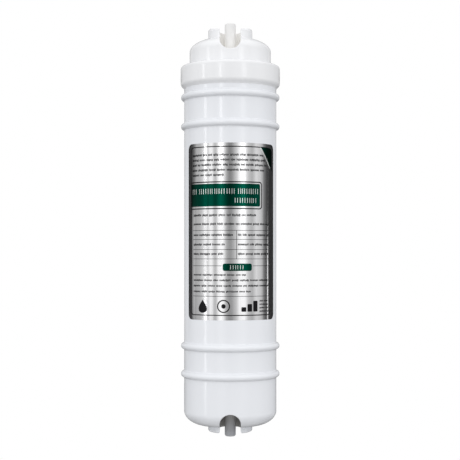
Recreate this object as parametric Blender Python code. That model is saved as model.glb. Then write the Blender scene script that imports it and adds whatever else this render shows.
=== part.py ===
"""Inline reverse-osmosis membrane element, one object for each separate piece.

The element stands upright along +Z, with its origin on the axis, midway between
the tips of its two stems. The front, where the label and both slots are, faces -Y.
All sizes are in metres.
"""

import math

import bmesh
import bpy
from mathutils import Matrix

# Fits and facets
GAP = 0.0003                    # clearance between pieces that touch or slide together
BIG_FACETS = 36                 # facets round the housing and the roll's fittings
SMALL_FACETS = 24               # facets round stems, tube and rings
RING_FACETS = 6                 # facets round the section of an O-ring
SLOT_FACETS = 12                # facets round the end of a slot
DOME_FACETS = 6                 # facets from the foot to the top of a dome
INNER_DOME_FACETS = 4
INSET_FACETS = 8
EDGE_FACETS = 3                 # facets across a small rounded edge
BEAD_FACETS = 4
FOOT_FACETS = 2
DRILL_FACETS = 10
SHARP_DEG = 35.0                # edges sharper than this are shaded sharp

# Barrel
STEM_TIP_Z = 0.1500             # height of each stem's tip above and below the origin
BARREL_RADIUS = 0.0335
WALL = 0.0025
BARREL_RIM_Z = 0.1155           # open rim, hidden under the cap's skirt
CORNER_Z = -0.1311              # the barrel is straight down to here
CORNER_DEPTH = 0.0102           # the bottom corner is a quarter of an ellipse
BOTTOM_FLAT_RADIUS = 0.0186
BEAD_CENTRES = (0.09583, 0.07480, -0.08392, -0.10430)
BEAD_RADIUS = 0.0024
BEAD_SINK = 0.0001              # the bead's centre lies this far inside the barrel's face
BEAD_FOOT = 0.0010              # hollow fillet where a bead meets the barrel

# Cap
SKIRT_PROUD = 0.00255           # the skirt stands this far out from the barrel
SKIRT_TOP_Z = 0.1186
SKIRT_SIDE_Z = 0.1062           # the skirt's side is straight down to here
SKIRT_EDGE_Z = 0.1022           # lower edge of the skirt, where it meets the barrel
SKIRT_TOP_ROUND = 0.0024
SKIRT_EDGE_ROUND = 0.0034
SKIRT_EDGE_DEG = 60.0           # the lower edge is round this far, then slopes in
NECK_INSET = 0.00396            # the neck stands this far in from the barrel's face
DOME_Z = 0.1288                 # the neck is straight up to here
DOME_FLAT_RADIUS = 0.00714
DOME_RISE = 0.0100
TONGUE_Z = 0.1100               # lower end of the ring that plugs into the barrel
TONGUE_WALL = 0.0020

# Collars and their slots, the same cross-section at both ends
COLLAR_RADIUS = 0.0160
SLOT_RADIUS = 0.0075
SLOT_EDGE_ROUND = 0.0016        # rounds the lugs' edges along the slot
CUP_WALL = 0.0018
CUP_FLOOR = 0.0022
HUB_WALL = 0.0022
INLET_SLOT_Z = 0.1345           # centre of the round end of the slot
INLET_RIM_Z = 0.1440
INLET_LUG_Z = 0.1454
INLET_COLLAR_ROUND = 0.0017
LUG_HALF_LENGTH = 0.0080        # the two inlet lugs reach this far to the front and back
OUTLET_SLOT_Z = -0.1378
OUTLET_RIM_Z = -0.1441          # the low part of the rim, behind the outlet stem
OUTLET_LUG_Z = -0.1462
OUTLET_COLLAR_ROUND = 0.0025

# Stem inserts
STEM_RADIUS = 0.0040
STEM_BORE_RADIUS = 0.00225
STEM_TIP_ROUND = 0.0014
SPIGOT_RADIUS = 0.0065
SPIGOT_LENGTH = 0.0095
RING_SECTION = 0.0015           # thickness of every O-ring

# Core tube and its socket
TUBE_RADIUS = 0.0085
TUBE_BORE_RADIUS = 0.0055
TUBE_TOP_Z = 0.1080
SOCKET_DEPTH = 0.0165
TUBE_RING_OFFSETS = (0.0050, 0.0105)    # ring centres, up from the tube's lower end
TUBE_HOLE_RADIUS = 0.0016
TUBE_HOLE_COUNT = 6
TUBE_HOLE_DEG = 3.0             # the holes are turned this far from the X and Y axes
PLUG_DEPTH = 0.0080
PLUG_HEAD = 0.0025

# Membrane roll and its fittings
ROLL_TOP_Z = 0.0935
ROLL_CLEARANCE = 0.0035         # room round the roll for its wrap and its seal
TURN_PITCH = 0.00305
LEAF_THICKNESS = 0.0026
FACETS_PER_TURN = 24
WRAP_THICKNESS = 0.0005
END_CAP_HEIGHT = 0.0080
END_CAP_RIM = 0.0040
END_CAP_HUB = 0.0036
SPOKE_COUNT = 6
SPOKE_WIDTH = 0.0030
SEAL_GROOVE_HEIGHT = 0.0056
SEAL_GROOVE_DEPTH = 0.0020
SEAL_LEG = 0.0010
SEAL_BASE = 0.0014
SEAL_LIP = 0.0008
SEAL_LIP_RISE = 0.0012          # the lip stands this far above the groove

# Label
LABEL_LEFT_DEG = -61.0          # measured round from the front
LABEL_RIGHT_DEG = 67.4
LABEL_TOP_Z = 0.0604
LABEL_BOTTOM_Z = -0.0641
LABEL_CORNER = 0.0022
LABEL_THICKNESS = 0.0002
LABEL_FACETS = 20
LABEL_CORNER_FACETS = 3

# Sizes that follow from the ones above
BARREL_BORE = BARREL_RADIUS - WALL
CORNER_WIDTH = BARREL_RADIUS - BOTTOM_FLAT_RADIUS
SKIRT_RADIUS = BARREL_RADIUS + SKIRT_PROUD
NECK_RADIUS = BARREL_RADIUS - NECK_INSET
DOME_WIDTH = NECK_RADIUS - DOME_FLAT_RADIUS
ROLL_RADIUS = BARREL_BORE - ROLL_CLEARANCE
CUP_RADIUS = SLOT_RADIUS + CUP_WALL
WELL_RADIUS = CUP_RADIUS + GAP
HUB_RADIUS = WELL_RADIUS + HUB_WALL
SPIGOT_BORE = SPIGOT_RADIUS + GAP
SOCKET_RADIUS = TUBE_RADIUS + GAP
RING_GROOVE_HALF = RING_SECTION / 2 + GAP
INLET_FLOOR_Z = INLET_SLOT_Z - SLOT_RADIUS
OUTLET_FLOOR_Z = OUTLET_SLOT_Z + SLOT_RADIUS
INLET_SEAT_Z = INLET_FLOOR_Z - CUP_FLOOR - GAP
OUTLET_SEAT_Z = OUTLET_FLOOR_Z + CUP_FLOOR + GAP
INLET_HUB_END_Z = INLET_SEAT_Z - SPIGOT_LENGTH + GAP
SOCKET_FLOOR_Z = OUTLET_SEAT_Z + SPIGOT_LENGTH + GAP
TUBE_END_Z = SOCKET_FLOOR_Z + GAP
SOCKET_RIM_Z = SOCKET_FLOOR_Z + SOCKET_DEPTH
DRAIN_CAP_Z = SOCKET_RIM_Z + GAP
ROLL_BOTTOM_Z = DRAIN_CAP_Z + END_CAP_HEIGHT + GAP
FEED_CAP_Z = ROLL_TOP_Z + GAP
WRAP_RADIUS = ROLL_RADIUS + GAP + WRAP_THICKNESS
BEYOND = 0.0100                 # how far a cutter runs past the piece it cuts


def material(name, colour, roughness, metallic=0.0):
    """One Principled material with a plain colour."""
    made = bpy.data.materials.new(name)
    made.use_nodes = True
    shader = made.node_tree.nodes["Principled BSDF"]
    shader.inputs["Base Color"].default_value = (*colour, 1.0)
    shader.inputs["Roughness"].default_value = roughness
    shader.inputs["Metallic"].default_value = metallic
    made.diffuse_color = (*colour, 1.0)
    return made


def add_object(name, mesh_builder, finish=None):
    """Turn a finished bmesh into an object, with its faces pointing out."""
    bmesh.ops.recalc_face_normals(mesh_builder, faces=mesh_builder.faces)
    mesh = bpy.data.meshes.new(name)
    mesh_builder.to_mesh(mesh)
    mesh_builder.free()
    mesh.shade_smooth()
    mesh.set_sharp_from_angle(angle=math.radians(SHARP_DEG))
    piece = bpy.data.objects.new(name, mesh)
    bpy.context.collection.objects.link(piece)
    if finish is not None:
        mesh.materials.append(finish)
    return piece


def hide_as_cutter(piece):
    """Mark a shape that only cuts or joins other shapes."""
    piece.display_type = "WIRE"
    piece.hide_render = True
    return piece


def combine(piece, other, operation):
    """Join, cut or trim one shape with another."""
    step = piece.modifiers.new(f"{operation.lower()}_{other.name}", "BOOLEAN")
    step.operation = operation
    step.solver = "EXACT"
    step.object = other


def arc(centre, size, start_deg, end_deg, steps):
    """Points (r, z) along part of a circle or ellipse, both ends included."""
    points = []
    for step in range(steps + 1):
        angle = math.radians(start_deg + (end_deg - start_deg) * step / steps)
        r = centre[0] + size[0] * math.cos(angle)
        z = centre[1] + size[1] * math.sin(angle)
        points.append((r, z))
    return points


def lathe(name, profile, facets, finish=None):
    """Turn a profile of (r, z) points round the Z axis.

    A profile that starts and ends on the axis is left open, any other one is closed.
    """
    shape = bmesh.new()
    corners = [shape.verts.new((r, 0.0, z)) for r, z in profile]
    edges = [shape.edges.new(pair) for pair in zip(corners, corners[1:])]
    on_axis = profile[0][0] == 0.0 and profile[-1][0] == 0.0
    if not on_axis:
        edges.append(shape.edges.new((corners[-1], corners[0])))
    bmesh.ops.spin(
        shape,
        geom=corners + edges,
        cent=(0.0, 0.0, 0.0),
        axis=(0.0, 0.0, 1.0),
        angle=2 * math.pi,
        steps=facets,
        use_merge=True,
    )
    bmesh.ops.remove_doubles(shape, verts=shape.verts, dist=1e-6)
    return add_object(name, shape, finish)


def prism(name, outline, axis, start, end):
    """Extrude flat outlines along the Y or the Z axis; the outlines stay apart."""
    shape = bmesh.new()
    outlines = outline if isinstance(outline[0], list) else [outline]
    along = {"Y": (0.0, end - start, 0.0), "Z": (0.0, 0.0, end - start)}[axis]
    for points in outlines:
        if axis == "Y":
            corners = [shape.verts.new((x, start, z)) for x, z in points]
        else:
            corners = [shape.verts.new((x, y, start)) for x, y in points]
        face = shape.faces.new(corners)
        grown = bmesh.ops.extrude_face_region(shape, geom=[face])
        moved = [item for item in grown["geom"] if isinstance(item, bmesh.types.BMVert)]
        bmesh.ops.translate(shape, verts=moved, vec=along)
    return hide_as_cutter(add_object(name, shape))


def slot_outline(radius, centre_z, open_z):
    """A U-shaped outline (x, z), round at centre_z and open towards open_z."""
    turn = 180.0 if open_z > centre_z else -180.0
    points = arc((0.0, centre_z), (radius, radius), turn, 2 * turn, SLOT_FACETS)
    points.append((radius, open_z))
    points.append((-radius, open_z))
    return points


def rounded_slot_outline(radius, centre_z, open_z, lug_z):
    """The same outline with its sides curving apart where they reach the lugs' tops."""
    end = 1.0 if open_z > centre_z else -1.0
    points = slot_outline(radius, centre_z, open_z)[:-2]
    edge = (SLOT_EDGE_ROUND, SLOT_EDGE_ROUND * end)
    right = arc((radius + edge[0], lug_z - edge[1]), edge, 180.0, 90.0, EDGE_FACETS)
    right.append((radius + edge[0], open_z))
    left = [(-x, z) for x, z in reversed(right)]
    return points + right + left


def port(piece, end, slot_z, lug_z, seat_z, hub_end_z, inset_form):
    """Give a housing piece its stem port.

    A trough of the slot's form joins the hub to the outer wall, the stem insert's
    stepped well is bored down the axis, and the slot is cut in from the front.
    """
    open_z = (STEM_TIP_Z + BEYOND) * end
    front_y = -(SKIRT_RADIUS + BEYOND)
    name = piece.name
    trough_form = slot_outline(SLOT_RADIUS + HUB_WALL, slot_z, open_z)
    trough = prism(f"{name}_trough", trough_form, "Y", front_y, 0.0)
    combine(trough, inset_form, "INTERSECT")
    well = hide_as_cutter(lathe(
        f"{name}_well",
        [
            (0.0, open_z),
            (WELL_RADIUS, open_z),
            (WELL_RADIUS, seat_z),
            (SPIGOT_BORE, seat_z),
            (SPIGOT_BORE, hub_end_z - BEYOND * end),
            (0.0, hub_end_z - BEYOND * end),
        ],
        SMALL_FACETS,
    ))
    slot_form = rounded_slot_outline(SLOT_RADIUS, slot_z, open_z, lug_z)
    slot = prism(f"{name}_slot", slot_form, "Y", front_y, 0.0)
    combine(piece, trough, "UNION")
    combine(piece, well, "DIFFERENCE")
    combine(piece, slot, "DIFFERENCE")


def bead(centre_z):
    """Profile of one moulded bead with hollow feet, from its top foot to its bottom foot."""
    crown_r = BARREL_RADIUS - BEAD_SINK
    reach = BEAD_RADIUS + BEAD_FOOT
    lean = math.degrees(math.asin((BEAD_FOOT + BEAD_SINK) / reach))
    foot_z = reach * math.cos(math.radians(lean))
    foot_r = BARREL_RADIUS + BEAD_FOOT
    feet = (BEAD_FOOT, BEAD_FOOT)
    top = arc((foot_r, centre_z + foot_z), feet, 180.0, 270.0 - lean, FOOT_FACETS)
    crown = arc((crown_r, centre_z), (BEAD_RADIUS, BEAD_RADIUS), 90.0 - lean, lean - 90.0, BEAD_FACETS)
    bottom = arc((foot_r, centre_z - foot_z), feet, 90.0 + lean, 180.0, FOOT_FACETS)
    return top + crown[1:-1] + bottom


def housing_body(finish):
    """Barrel, beads, bottom and outlet collar in one moulding, with the tube's socket inside."""
    flat_r = BOTTOM_FLAT_RADIUS
    flat_z = CORNER_Z - CORNER_DEPTH
    profile = [(0.0, SOCKET_RIM_Z), (HUB_RADIUS, SOCKET_RIM_Z), (HUB_RADIUS, flat_z + WALL)]
    inner_corner = (CORNER_WIDTH - WALL, CORNER_DEPTH - WALL)
    profile += arc((flat_r, CORNER_Z), inner_corner, -90.0, 0.0, INNER_DOME_FACETS)
    profile += [(BARREL_BORE, BARREL_RIM_Z), (BARREL_RADIUS, BARREL_RIM_Z)]
    for centre_z in BEAD_CENTRES:
        profile += bead(centre_z)
    profile += arc((flat_r, CORNER_Z), (CORNER_WIDTH, CORNER_DEPTH), 0.0, -90.0, DOME_FACETS)
    profile.append((COLLAR_RADIUS, flat_z))
    collar_round = (OUTLET_COLLAR_ROUND, OUTLET_COLLAR_ROUND)
    round_centre = (COLLAR_RADIUS - OUTLET_COLLAR_ROUND, OUTLET_LUG_Z + OUTLET_COLLAR_ROUND)
    profile += arc(round_centre, collar_round, 0.0, -90.0, EDGE_FACETS)
    profile.append((0.0, OUTLET_LUG_Z))
    body = lathe("housing_body", profile, BIG_FACETS, finish)

    half = WALL / 2
    inset = [(0.0, SOCKET_RIM_Z), (BARREL_RADIUS - half, SOCKET_RIM_Z)]
    inset += arc((flat_r, CORNER_Z), (CORNER_WIDTH - half, CORNER_DEPTH - half), 0.0, -90.0, INSET_FACETS)
    inset.append((0.0, flat_z + half))
    inset_form = hide_as_cutter(lathe("housing_body_inset", inset, BIG_FACETS))
    port(body, -1.0, OUTLET_SLOT_Z, OUTLET_LUG_Z, OUTLET_SEAT_Z, SOCKET_FLOOR_Z, inset_form)

    socket = hide_as_cutter(lathe(
        "housing_body_socket",
        [
            (0.0, SOCKET_RIM_Z + BEYOND),
            (SOCKET_RADIUS, SOCKET_RIM_Z + BEYOND),
            (SOCKET_RADIUS, SOCKET_FLOOR_Z),
            (0.0, SOCKET_FLOOR_Z),
        ],
        SMALL_FACETS,
    ))
    combine(body, socket, "DIFFERENCE")
    gap_in_rim = [
        (-SLOT_RADIUS, 0.0),
        (SLOT_RADIUS, 0.0),
        (SLOT_RADIUS, COLLAR_RADIUS + BEYOND),
        (-SLOT_RADIUS, COLLAR_RADIUS + BEYOND),
    ]
    back_rim = prism("housing_body_back_rim", gap_in_rim, "Z", OUTLET_LUG_Z - BEYOND, OUTLET_RIM_Z)
    combine(body, back_rim, "DIFFERENCE")
    return body


def housing_cap(finish):
    """Skirt, neck, dome and inlet collar in one moulding that plugs into the barrel."""
    flat_r = DOME_FLAT_RADIUS
    neck_bore = NECK_RADIUS - WALL
    skirt_bore = BARREL_RADIUS + GAP
    tongue_r = BARREL_BORE - GAP
    slot_above_rim = BARREL_RIM_Z + GAP
    well_wall_z = INLET_SEAT_Z - HUB_WALL

    collar_round = (INLET_COLLAR_ROUND, INLET_COLLAR_ROUND)
    collar_centre = (COLLAR_RADIUS - INLET_COLLAR_ROUND, INLET_LUG_Z - INLET_COLLAR_ROUND)
    dome_start = math.degrees(math.acos((COLLAR_RADIUS - flat_r) / DOME_WIDTH))
    profile = [(0.0, INLET_LUG_Z)]
    profile += arc(collar_centre, collar_round, 90.0, 0.0, EDGE_FACETS)
    profile += arc((flat_r, DOME_Z), (DOME_WIDTH, DOME_RISE), dome_start, 0.0, DOME_FACETS)
    profile.append((NECK_RADIUS, SKIRT_TOP_Z))
    top_centre = (SKIRT_RADIUS - SKIRT_TOP_ROUND, SKIRT_TOP_Z - SKIRT_TOP_ROUND)
    profile += arc(top_centre, (SKIRT_TOP_ROUND, SKIRT_TOP_ROUND), 90.0, 0.0, EDGE_FACETS)
    edge_centre = (SKIRT_RADIUS - SKIRT_EDGE_ROUND, SKIRT_SIDE_Z)
    edge_round = (SKIRT_EDGE_ROUND, SKIRT_EDGE_ROUND)
    profile += arc(edge_centre, edge_round, 0.0, -SKIRT_EDGE_DEG, EDGE_FACETS)
    profile += [
        (skirt_bore, SKIRT_EDGE_Z),
        (skirt_bore, slot_above_rim),
        (tongue_r, slot_above_rim),
        (tongue_r, TONGUE_Z),
        (tongue_r - TONGUE_WALL, TONGUE_Z),
        (tongue_r - TONGUE_WALL, BARREL_RIM_Z),
        (neck_bore, BARREL_RIM_Z + WALL),
    ]
    inner_dome = (DOME_WIDTH - WALL, DOME_RISE - WALL)
    hub_angle = math.degrees(math.acos((HUB_RADIUS - flat_r) / inner_dome[0]))
    profile += arc((flat_r, DOME_Z), inner_dome, 0.0, hub_angle, INNER_DOME_FACETS)
    spigot_hub = SPIGOT_BORE + HUB_WALL
    profile += [
        (HUB_RADIUS, well_wall_z),
        (spigot_hub, well_wall_z),
        (spigot_hub, INLET_HUB_END_Z),
        (0.0, INLET_HUB_END_Z),
    ]
    cap = lathe("housing_cap", profile, BIG_FACETS, finish)

    half = WALL / 2
    inset = [(0.0, DOME_Z + DOME_RISE - half)]
    inset += arc((flat_r, DOME_Z), (DOME_WIDTH - half, DOME_RISE - half), 90.0, 0.0, INSET_FACETS)
    inset += [(NECK_RADIUS - half, SKIRT_TOP_Z), (0.0, SKIRT_TOP_Z)]
    inset_form = hide_as_cutter(lathe("housing_cap_inset", inset, BIG_FACETS))
    port(cap, 1.0, INLET_SLOT_Z, INLET_LUG_Z, INLET_SEAT_Z, INLET_HUB_END_Z, inset_form)

    wide = COLLAR_RADIUS + BEYOND
    between_lugs = [
        (-wide, -wide),
        (wide, -wide),
        (wide, -LUG_HALF_LENGTH),
        (SLOT_RADIUS, -LUG_HALF_LENGTH),
        (SLOT_RADIUS, LUG_HALF_LENGTH),
        (wide, LUG_HALF_LENGTH),
        (wide, wide),
        (-wide, wide),
        (-wide, LUG_HALF_LENGTH),
        (-SLOT_RADIUS, LUG_HALF_LENGTH),
        (-SLOT_RADIUS, -LUG_HALF_LENGTH),
        (-wide, -LUG_HALF_LENGTH),
    ]
    low_rim = prism("housing_cap_low_rim", between_lugs, "Z", INLET_RIM_Z, INLET_LUG_Z + BEYOND)
    combine(cap, low_rim, "DIFFERENCE")
    return cap


def stem_insert(name, end, floor_z, slot_z, rim_z, finish):
    """A stem in the middle of a cup that lines the slot's well, with a grooved spigot behind.

    The profile is written for the upper end and mirrored for the lower one.
    """
    floor = floor_z * end
    back = floor - CUP_FLOOR
    spigot_end = back - SPIGOT_LENGTH
    groove = (back + spigot_end) / 2
    groove_r = SPIGOT_BORE - RING_SECTION - 2 * GAP
    tip_round = (STEM_TIP_ROUND, STEM_TIP_ROUND)
    profile = [(STEM_BORE_RADIUS, STEM_TIP_Z)]
    tip_centre = (STEM_RADIUS - STEM_TIP_ROUND, STEM_TIP_Z - STEM_TIP_ROUND)
    profile += arc(tip_centre, tip_round, 90.0, 0.0, EDGE_FACETS)
    profile += [
        (STEM_RADIUS, floor),
        (SLOT_RADIUS, floor),
        (SLOT_RADIUS, rim_z * end),
        (CUP_RADIUS, rim_z * end),
        (CUP_RADIUS, back),
        (SPIGOT_RADIUS, back),
        (SPIGOT_RADIUS, groove + RING_GROOVE_HALF),
        (groove_r, groove + RING_GROOVE_HALF),
        (groove_r, groove - RING_GROOVE_HALF),
        (SPIGOT_RADIUS, groove - RING_GROOVE_HALF),
        (SPIGOT_RADIUS, spigot_end),
        (STEM_BORE_RADIUS, spigot_end),
    ]
    insert = lathe(name, [(r, z * end) for r, z in profile], SMALL_FACETS, finish)
    lip = SLOT_RADIUS - GAP
    open_z = (STEM_TIP_Z + BEYOND) * end
    front_y = -(CUP_RADIUS + BEYOND)
    slot = prism(f"{name}_slot", slot_outline(lip, slot_z, open_z), "Y", front_y, -STEM_RADIUS - GAP)
    combine(insert, slot, "DIFFERENCE")
    ring_radius = (groove_r + SPIGOT_BORE) / 2
    return insert, ring_radius, groove * end


def o_ring(name, radius, centre_z, finish):
    """A rubber ring of round section, by its mean radius."""
    section = RING_SECTION / 2
    profile = arc((radius, centre_z), (section, section), 0.0, -360.0, RING_FACETS)[:-1]
    return lathe(name, profile, SMALL_FACETS, finish)


def permeate_tube(finish):
    """Core tube with ring grooves at its lower end and holes drilled across inside the roll."""
    groove_r = SOCKET_RADIUS - RING_SECTION - 2 * GAP
    profile = [(TUBE_BORE_RADIUS, TUBE_TOP_Z), (TUBE_RADIUS, TUBE_TOP_Z)]
    for offset in reversed(TUBE_RING_OFFSETS):
        centre = TUBE_END_Z + offset
        profile += [
            (TUBE_RADIUS, centre + RING_GROOVE_HALF),
            (groove_r, centre + RING_GROOVE_HALF),
            (groove_r, centre - RING_GROOVE_HALF),
            (TUBE_RADIUS, centre - RING_GROOVE_HALF),
        ]
    profile += [(TUBE_RADIUS, TUBE_END_Z), (TUBE_BORE_RADIUS, TUBE_END_Z)]
    tube = lathe("permeate_tube", profile, SMALL_FACETS, finish)

    drills = bmesh.new()
    step = (ROLL_TOP_Z - ROLL_BOTTOM_Z) / TUBE_HOLE_COUNT
    for index in range(TUBE_HOLE_COUNT):
        made = bmesh.ops.create_cone(
            drills,
            cap_ends=True,
            segments=DRILL_FACETS,
            radius1=TUBE_HOLE_RADIUS,
            radius2=TUBE_HOLE_RADIUS,
            depth=2 * (TUBE_RADIUS + BEYOND),
        )
        bmesh.ops.rotate(drills, verts=made["verts"], matrix=lay_across(index))
        height = ROLL_BOTTOM_Z + (index + 0.5) * step
        bmesh.ops.translate(drills, verts=made["verts"], vec=(0.0, 0.0, height))
    drill_set = hide_as_cutter(add_object("permeate_tube_holes", drills))
    combine(tube, drill_set, "DIFFERENCE")
    return tube, (groove_r + SOCKET_RADIUS) / 2


def lay_across(index):
    """Rotation that lays a drill across the tube, along X or Y by turns."""
    lying = Matrix.Rotation(math.radians(90.0), 3, "Y")
    turn = Matrix.Rotation(math.radians(90.0 * (index % 2) + TUBE_HOLE_DEG), 3, "Z")
    return turn @ lying


def tube_plug(finish):
    """Plug that shuts the core tube at the feed end."""
    plug_r = TUBE_BORE_RADIUS - GAP
    head_z = TUBE_TOP_Z + GAP
    profile = [
        (0.0, head_z + PLUG_HEAD),
        (TUBE_RADIUS, head_z + PLUG_HEAD),
        (TUBE_RADIUS, head_z),
        (plug_r, head_z),
        (plug_r, TUBE_TOP_Z - PLUG_DEPTH),
        (0.0, TUBE_TOP_Z - PLUG_DEPTH),
    ]
    return lathe("tube_plug", profile, SMALL_FACETS, finish)


def membrane_roll(finish):
    """The leaves wound on the tube as one spiral sheet, r = start + pitch * turns."""
    start = TUBE_RADIUS + GAP
    turns = (ROLL_RADIUS - LEAF_THICKNESS - start) / TURN_PITCH
    steps = int(turns * FACETS_PER_TURN)
    shape = bmesh.new()
    before = None
    for step in range(steps + 1):
        angle = 2 * math.pi * step / FACETS_PER_TURN
        inner = start + TURN_PITCH * step / FACETS_PER_TURN
        section = []
        corners = (
            (inner, ROLL_BOTTOM_Z),
            (inner, ROLL_TOP_Z),
            (inner + LEAF_THICKNESS, ROLL_TOP_Z),
            (inner + LEAF_THICKNESS, ROLL_BOTTOM_Z),
        )
        for r, z in corners:
            section.append(shape.verts.new((r * math.cos(angle), r * math.sin(angle), z)))
        join_sections(shape, before, section)
        before = section
    shape.faces.new(before)
    return add_object("membrane_roll", shape, finish)


def join_sections(shape, before, section):
    """Skin from one four-cornered section to the next, or close the first one."""
    if before is None:
        shape.faces.new(reversed(section))
        return
    for corner in range(4):
        after = (corner + 1) % 4
        shape.faces.new((before[corner], before[after], section[after], section[corner]))


def roll_wrap(finish):
    """Tape wound round the outside of the roll."""
    inner = ROLL_RADIUS + GAP
    profile = [
        (inner, ROLL_TOP_Z),
        (WRAP_RADIUS, ROLL_TOP_Z),
        (WRAP_RADIUS, ROLL_BOTTOM_Z),
        (inner, ROLL_BOTTOM_Z),
    ]
    return lathe("roll_wrap", profile, BIG_FACETS, finish)


def window_outline(index):
    """One opening between two spokes of an end cap, as (x, y) points."""
    outer = WRAP_RADIUS - END_CAP_RIM
    inner = SOCKET_RADIUS + END_CAP_HUB
    middle = 360.0 * (index + 0.5) / SPOKE_COUNT
    half = 180.0 / SPOKE_COUNT
    outer_half = half - math.degrees(math.asin(SPOKE_WIDTH / 2 / outer))
    inner_half = half - math.degrees(math.asin(SPOKE_WIDTH / 2 / inner))
    outer_arc = arc((0.0, 0.0), (outer, outer), middle - outer_half, middle + outer_half, 5)
    inner_arc = arc((0.0, 0.0), (inner, inner), middle + inner_half, middle - inner_half, 3)
    return outer_arc + inner_arc


def end_cap(name, base_z, sealed, finish):
    """Spoked ring that stops the roll from telescoping; the feed one holds the lip seal."""
    top_z = base_z + END_CAP_HEIGHT
    profile = [(SOCKET_RADIUS, top_z), (WRAP_RADIUS, top_z)]
    if sealed:
        groove_z = (base_z + top_z) / 2
        high = groove_z + SEAL_GROOVE_HEIGHT / 2
        low = groove_z - SEAL_GROOVE_HEIGHT / 2
        groove_r = WRAP_RADIUS - SEAL_GROOVE_DEPTH
        profile += [(WRAP_RADIUS, high), (groove_r, high), (groove_r, low), (WRAP_RADIUS, low)]
    profile += [(WRAP_RADIUS, base_z), (SOCKET_RADIUS, base_z)]
    ring = lathe(name, profile, BIG_FACETS, finish)
    windows = [window_outline(index) for index in range(SPOKE_COUNT)]
    cutter = prism(f"{name}_windows", windows, "Z", base_z - BEYOND, top_z + BEYOND)
    combine(ring, cutter, "DIFFERENCE")
    return ring


def brine_seal(finish):
    """U-cup lip seal in the feed end cap's groove, with its lip against the barrel."""
    middle = FEED_CAP_Z + END_CAP_HEIGHT / 2
    low = middle - SEAL_GROOVE_HEIGHT / 2 + GAP
    high = middle + SEAL_GROOVE_HEIGHT / 2 - GAP
    inner = WRAP_RADIUS - SEAL_GROOVE_DEPTH + GAP
    lip_r = BARREL_BORE - GAP
    lip_z = high + SEAL_LIP_RISE
    heel_r = (WRAP_RADIUS + lip_r) / 2
    profile = [
        (inner, high),
        (inner + SEAL_LEG, high),
        (inner + SEAL_LEG, low + SEAL_BASE),
        (heel_r - SEAL_LIP, low + SEAL_BASE),
        (lip_r - SEAL_LIP, lip_z),
        (lip_r, lip_z),
        (heel_r, low),
        (inner, low),
    ]
    return lathe("brine_seal", profile, BIG_FACETS, finish)


def label_columns():
    """Angles across the label, closer together in its rounded corners."""
    outer = BARREL_RADIUS + GAP + LABEL_THICKNESS
    corner_deg = math.degrees(LABEL_CORNER / outer)
    corner_steps = []
    for step in range(LABEL_CORNER_FACETS + 1):
        turn = math.radians(90.0 * step / LABEL_CORNER_FACETS)
        corner_steps.append((corner_deg * (1 - math.cos(turn)), LABEL_CORNER * (1 - math.sin(turn))))
    columns = [(LABEL_LEFT_DEG + across, inset) for across, inset in corner_steps]
    start = LABEL_LEFT_DEG + corner_deg
    end = LABEL_RIGHT_DEG - corner_deg
    for step in range(1, LABEL_FACETS):
        columns.append((start + (end - start) * step / LABEL_FACETS, 0.0))
    columns += [(LABEL_RIGHT_DEG - across, inset) for across, inset in reversed(corner_steps)]
    return columns


def label(finish):
    """Metallised film wrapped round the front of the barrel, with rounded corners."""
    inner = BARREL_RADIUS + GAP
    outer = inner + LABEL_THICKNESS
    shape = bmesh.new()
    before = None
    for degrees, inset in label_columns():
        angle = math.radians(degrees - 90.0)
        low = LABEL_BOTTOM_Z + inset
        high = LABEL_TOP_Z - inset
        section = []
        for r, z in ((inner, low), (inner, high), (outer, high), (outer, low)):
            section.append(shape.verts.new((r * math.cos(angle), r * math.sin(angle), z)))
        join_sections(shape, before, section)
        before = section
    shape.faces.new(before)
    return add_object("label", shape, finish)


def clear_scene():
    """Start from an empty scene."""
    for item in list(bpy.data.objects):
        bpy.data.objects.remove(item, do_unlink=True)


def build():
    """Make every piece in its place."""
    clear_scene()
    white = material("glossy_white_plastic", (0.80, 0.81, 0.84), 0.18)
    neutral = material("satin_white_plastic", (0.84, 0.84, 0.82), 0.35)
    grey = material("grey_plastic", (0.19, 0.20, 0.21), 0.35)
    film = material("brushed_silver_film", (0.62, 0.62, 0.63), 0.30, 1.0)
    rubber = material("black_rubber", (0.02, 0.02, 0.02), 0.60)
    core = material("core_tube_plastic", (0.78, 0.78, 0.74), 0.40)
    leaf = material("membrane_sheet", (0.72, 0.70, 0.62), 0.55)
    tape = material("wrap_tape", (0.05, 0.16, 0.45), 0.30)
    ring_plastic = material("end_cap_plastic", (0.60, 0.61, 0.62), 0.40)

    housing_body(white)
    housing_cap(white)
    label(film)
    _, ring_r, ring_z = stem_insert(
        "inlet_stem", 1.0, INLET_FLOOR_Z, INLET_SLOT_Z, INLET_RIM_Z, neutral
    )
    o_ring("inlet_o_ring", ring_r, ring_z, rubber)
    _, ring_r, ring_z = stem_insert(
        "outlet_stem", -1.0, OUTLET_FLOOR_Z, OUTLET_SLOT_Z, OUTLET_RIM_Z, grey
    )
    o_ring("outlet_o_ring", ring_r, ring_z, rubber)
    _, tube_ring_r = permeate_tube(core)
    for name, offset in zip(("lower_tube_o_ring", "upper_tube_o_ring"), TUBE_RING_OFFSETS):
        o_ring(name, tube_ring_r, TUBE_END_Z + offset, rubber)
    tube_plug(ring_plastic)
    membrane_roll(leaf)
    roll_wrap(tape)
    end_cap("drain_end_cap", DRAIN_CAP_Z, False, ring_plastic)
    end_cap("feed_end_cap", FEED_CAP_Z, True, ring_plastic)
    brine_seal(rubber)


build()
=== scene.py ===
# %% [markdown]
# # An inline membrane element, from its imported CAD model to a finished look
#
# The object is a sealed water-filter cartridge: a white moulded barrel with four beads, a cap welded
# over its top, a short stem in a slotted collar at each end, and a wrapped label of silver film.
# The CAD model already has every piece in its place, but with few facets. Here the pieces that the
# eye meets are made again as fine surfaces, in the same places, and every piece gets its finish.
# Lengths are in metres, +Z runs up the axis, and the label and both slots face -Y.

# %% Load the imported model
import math

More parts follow.
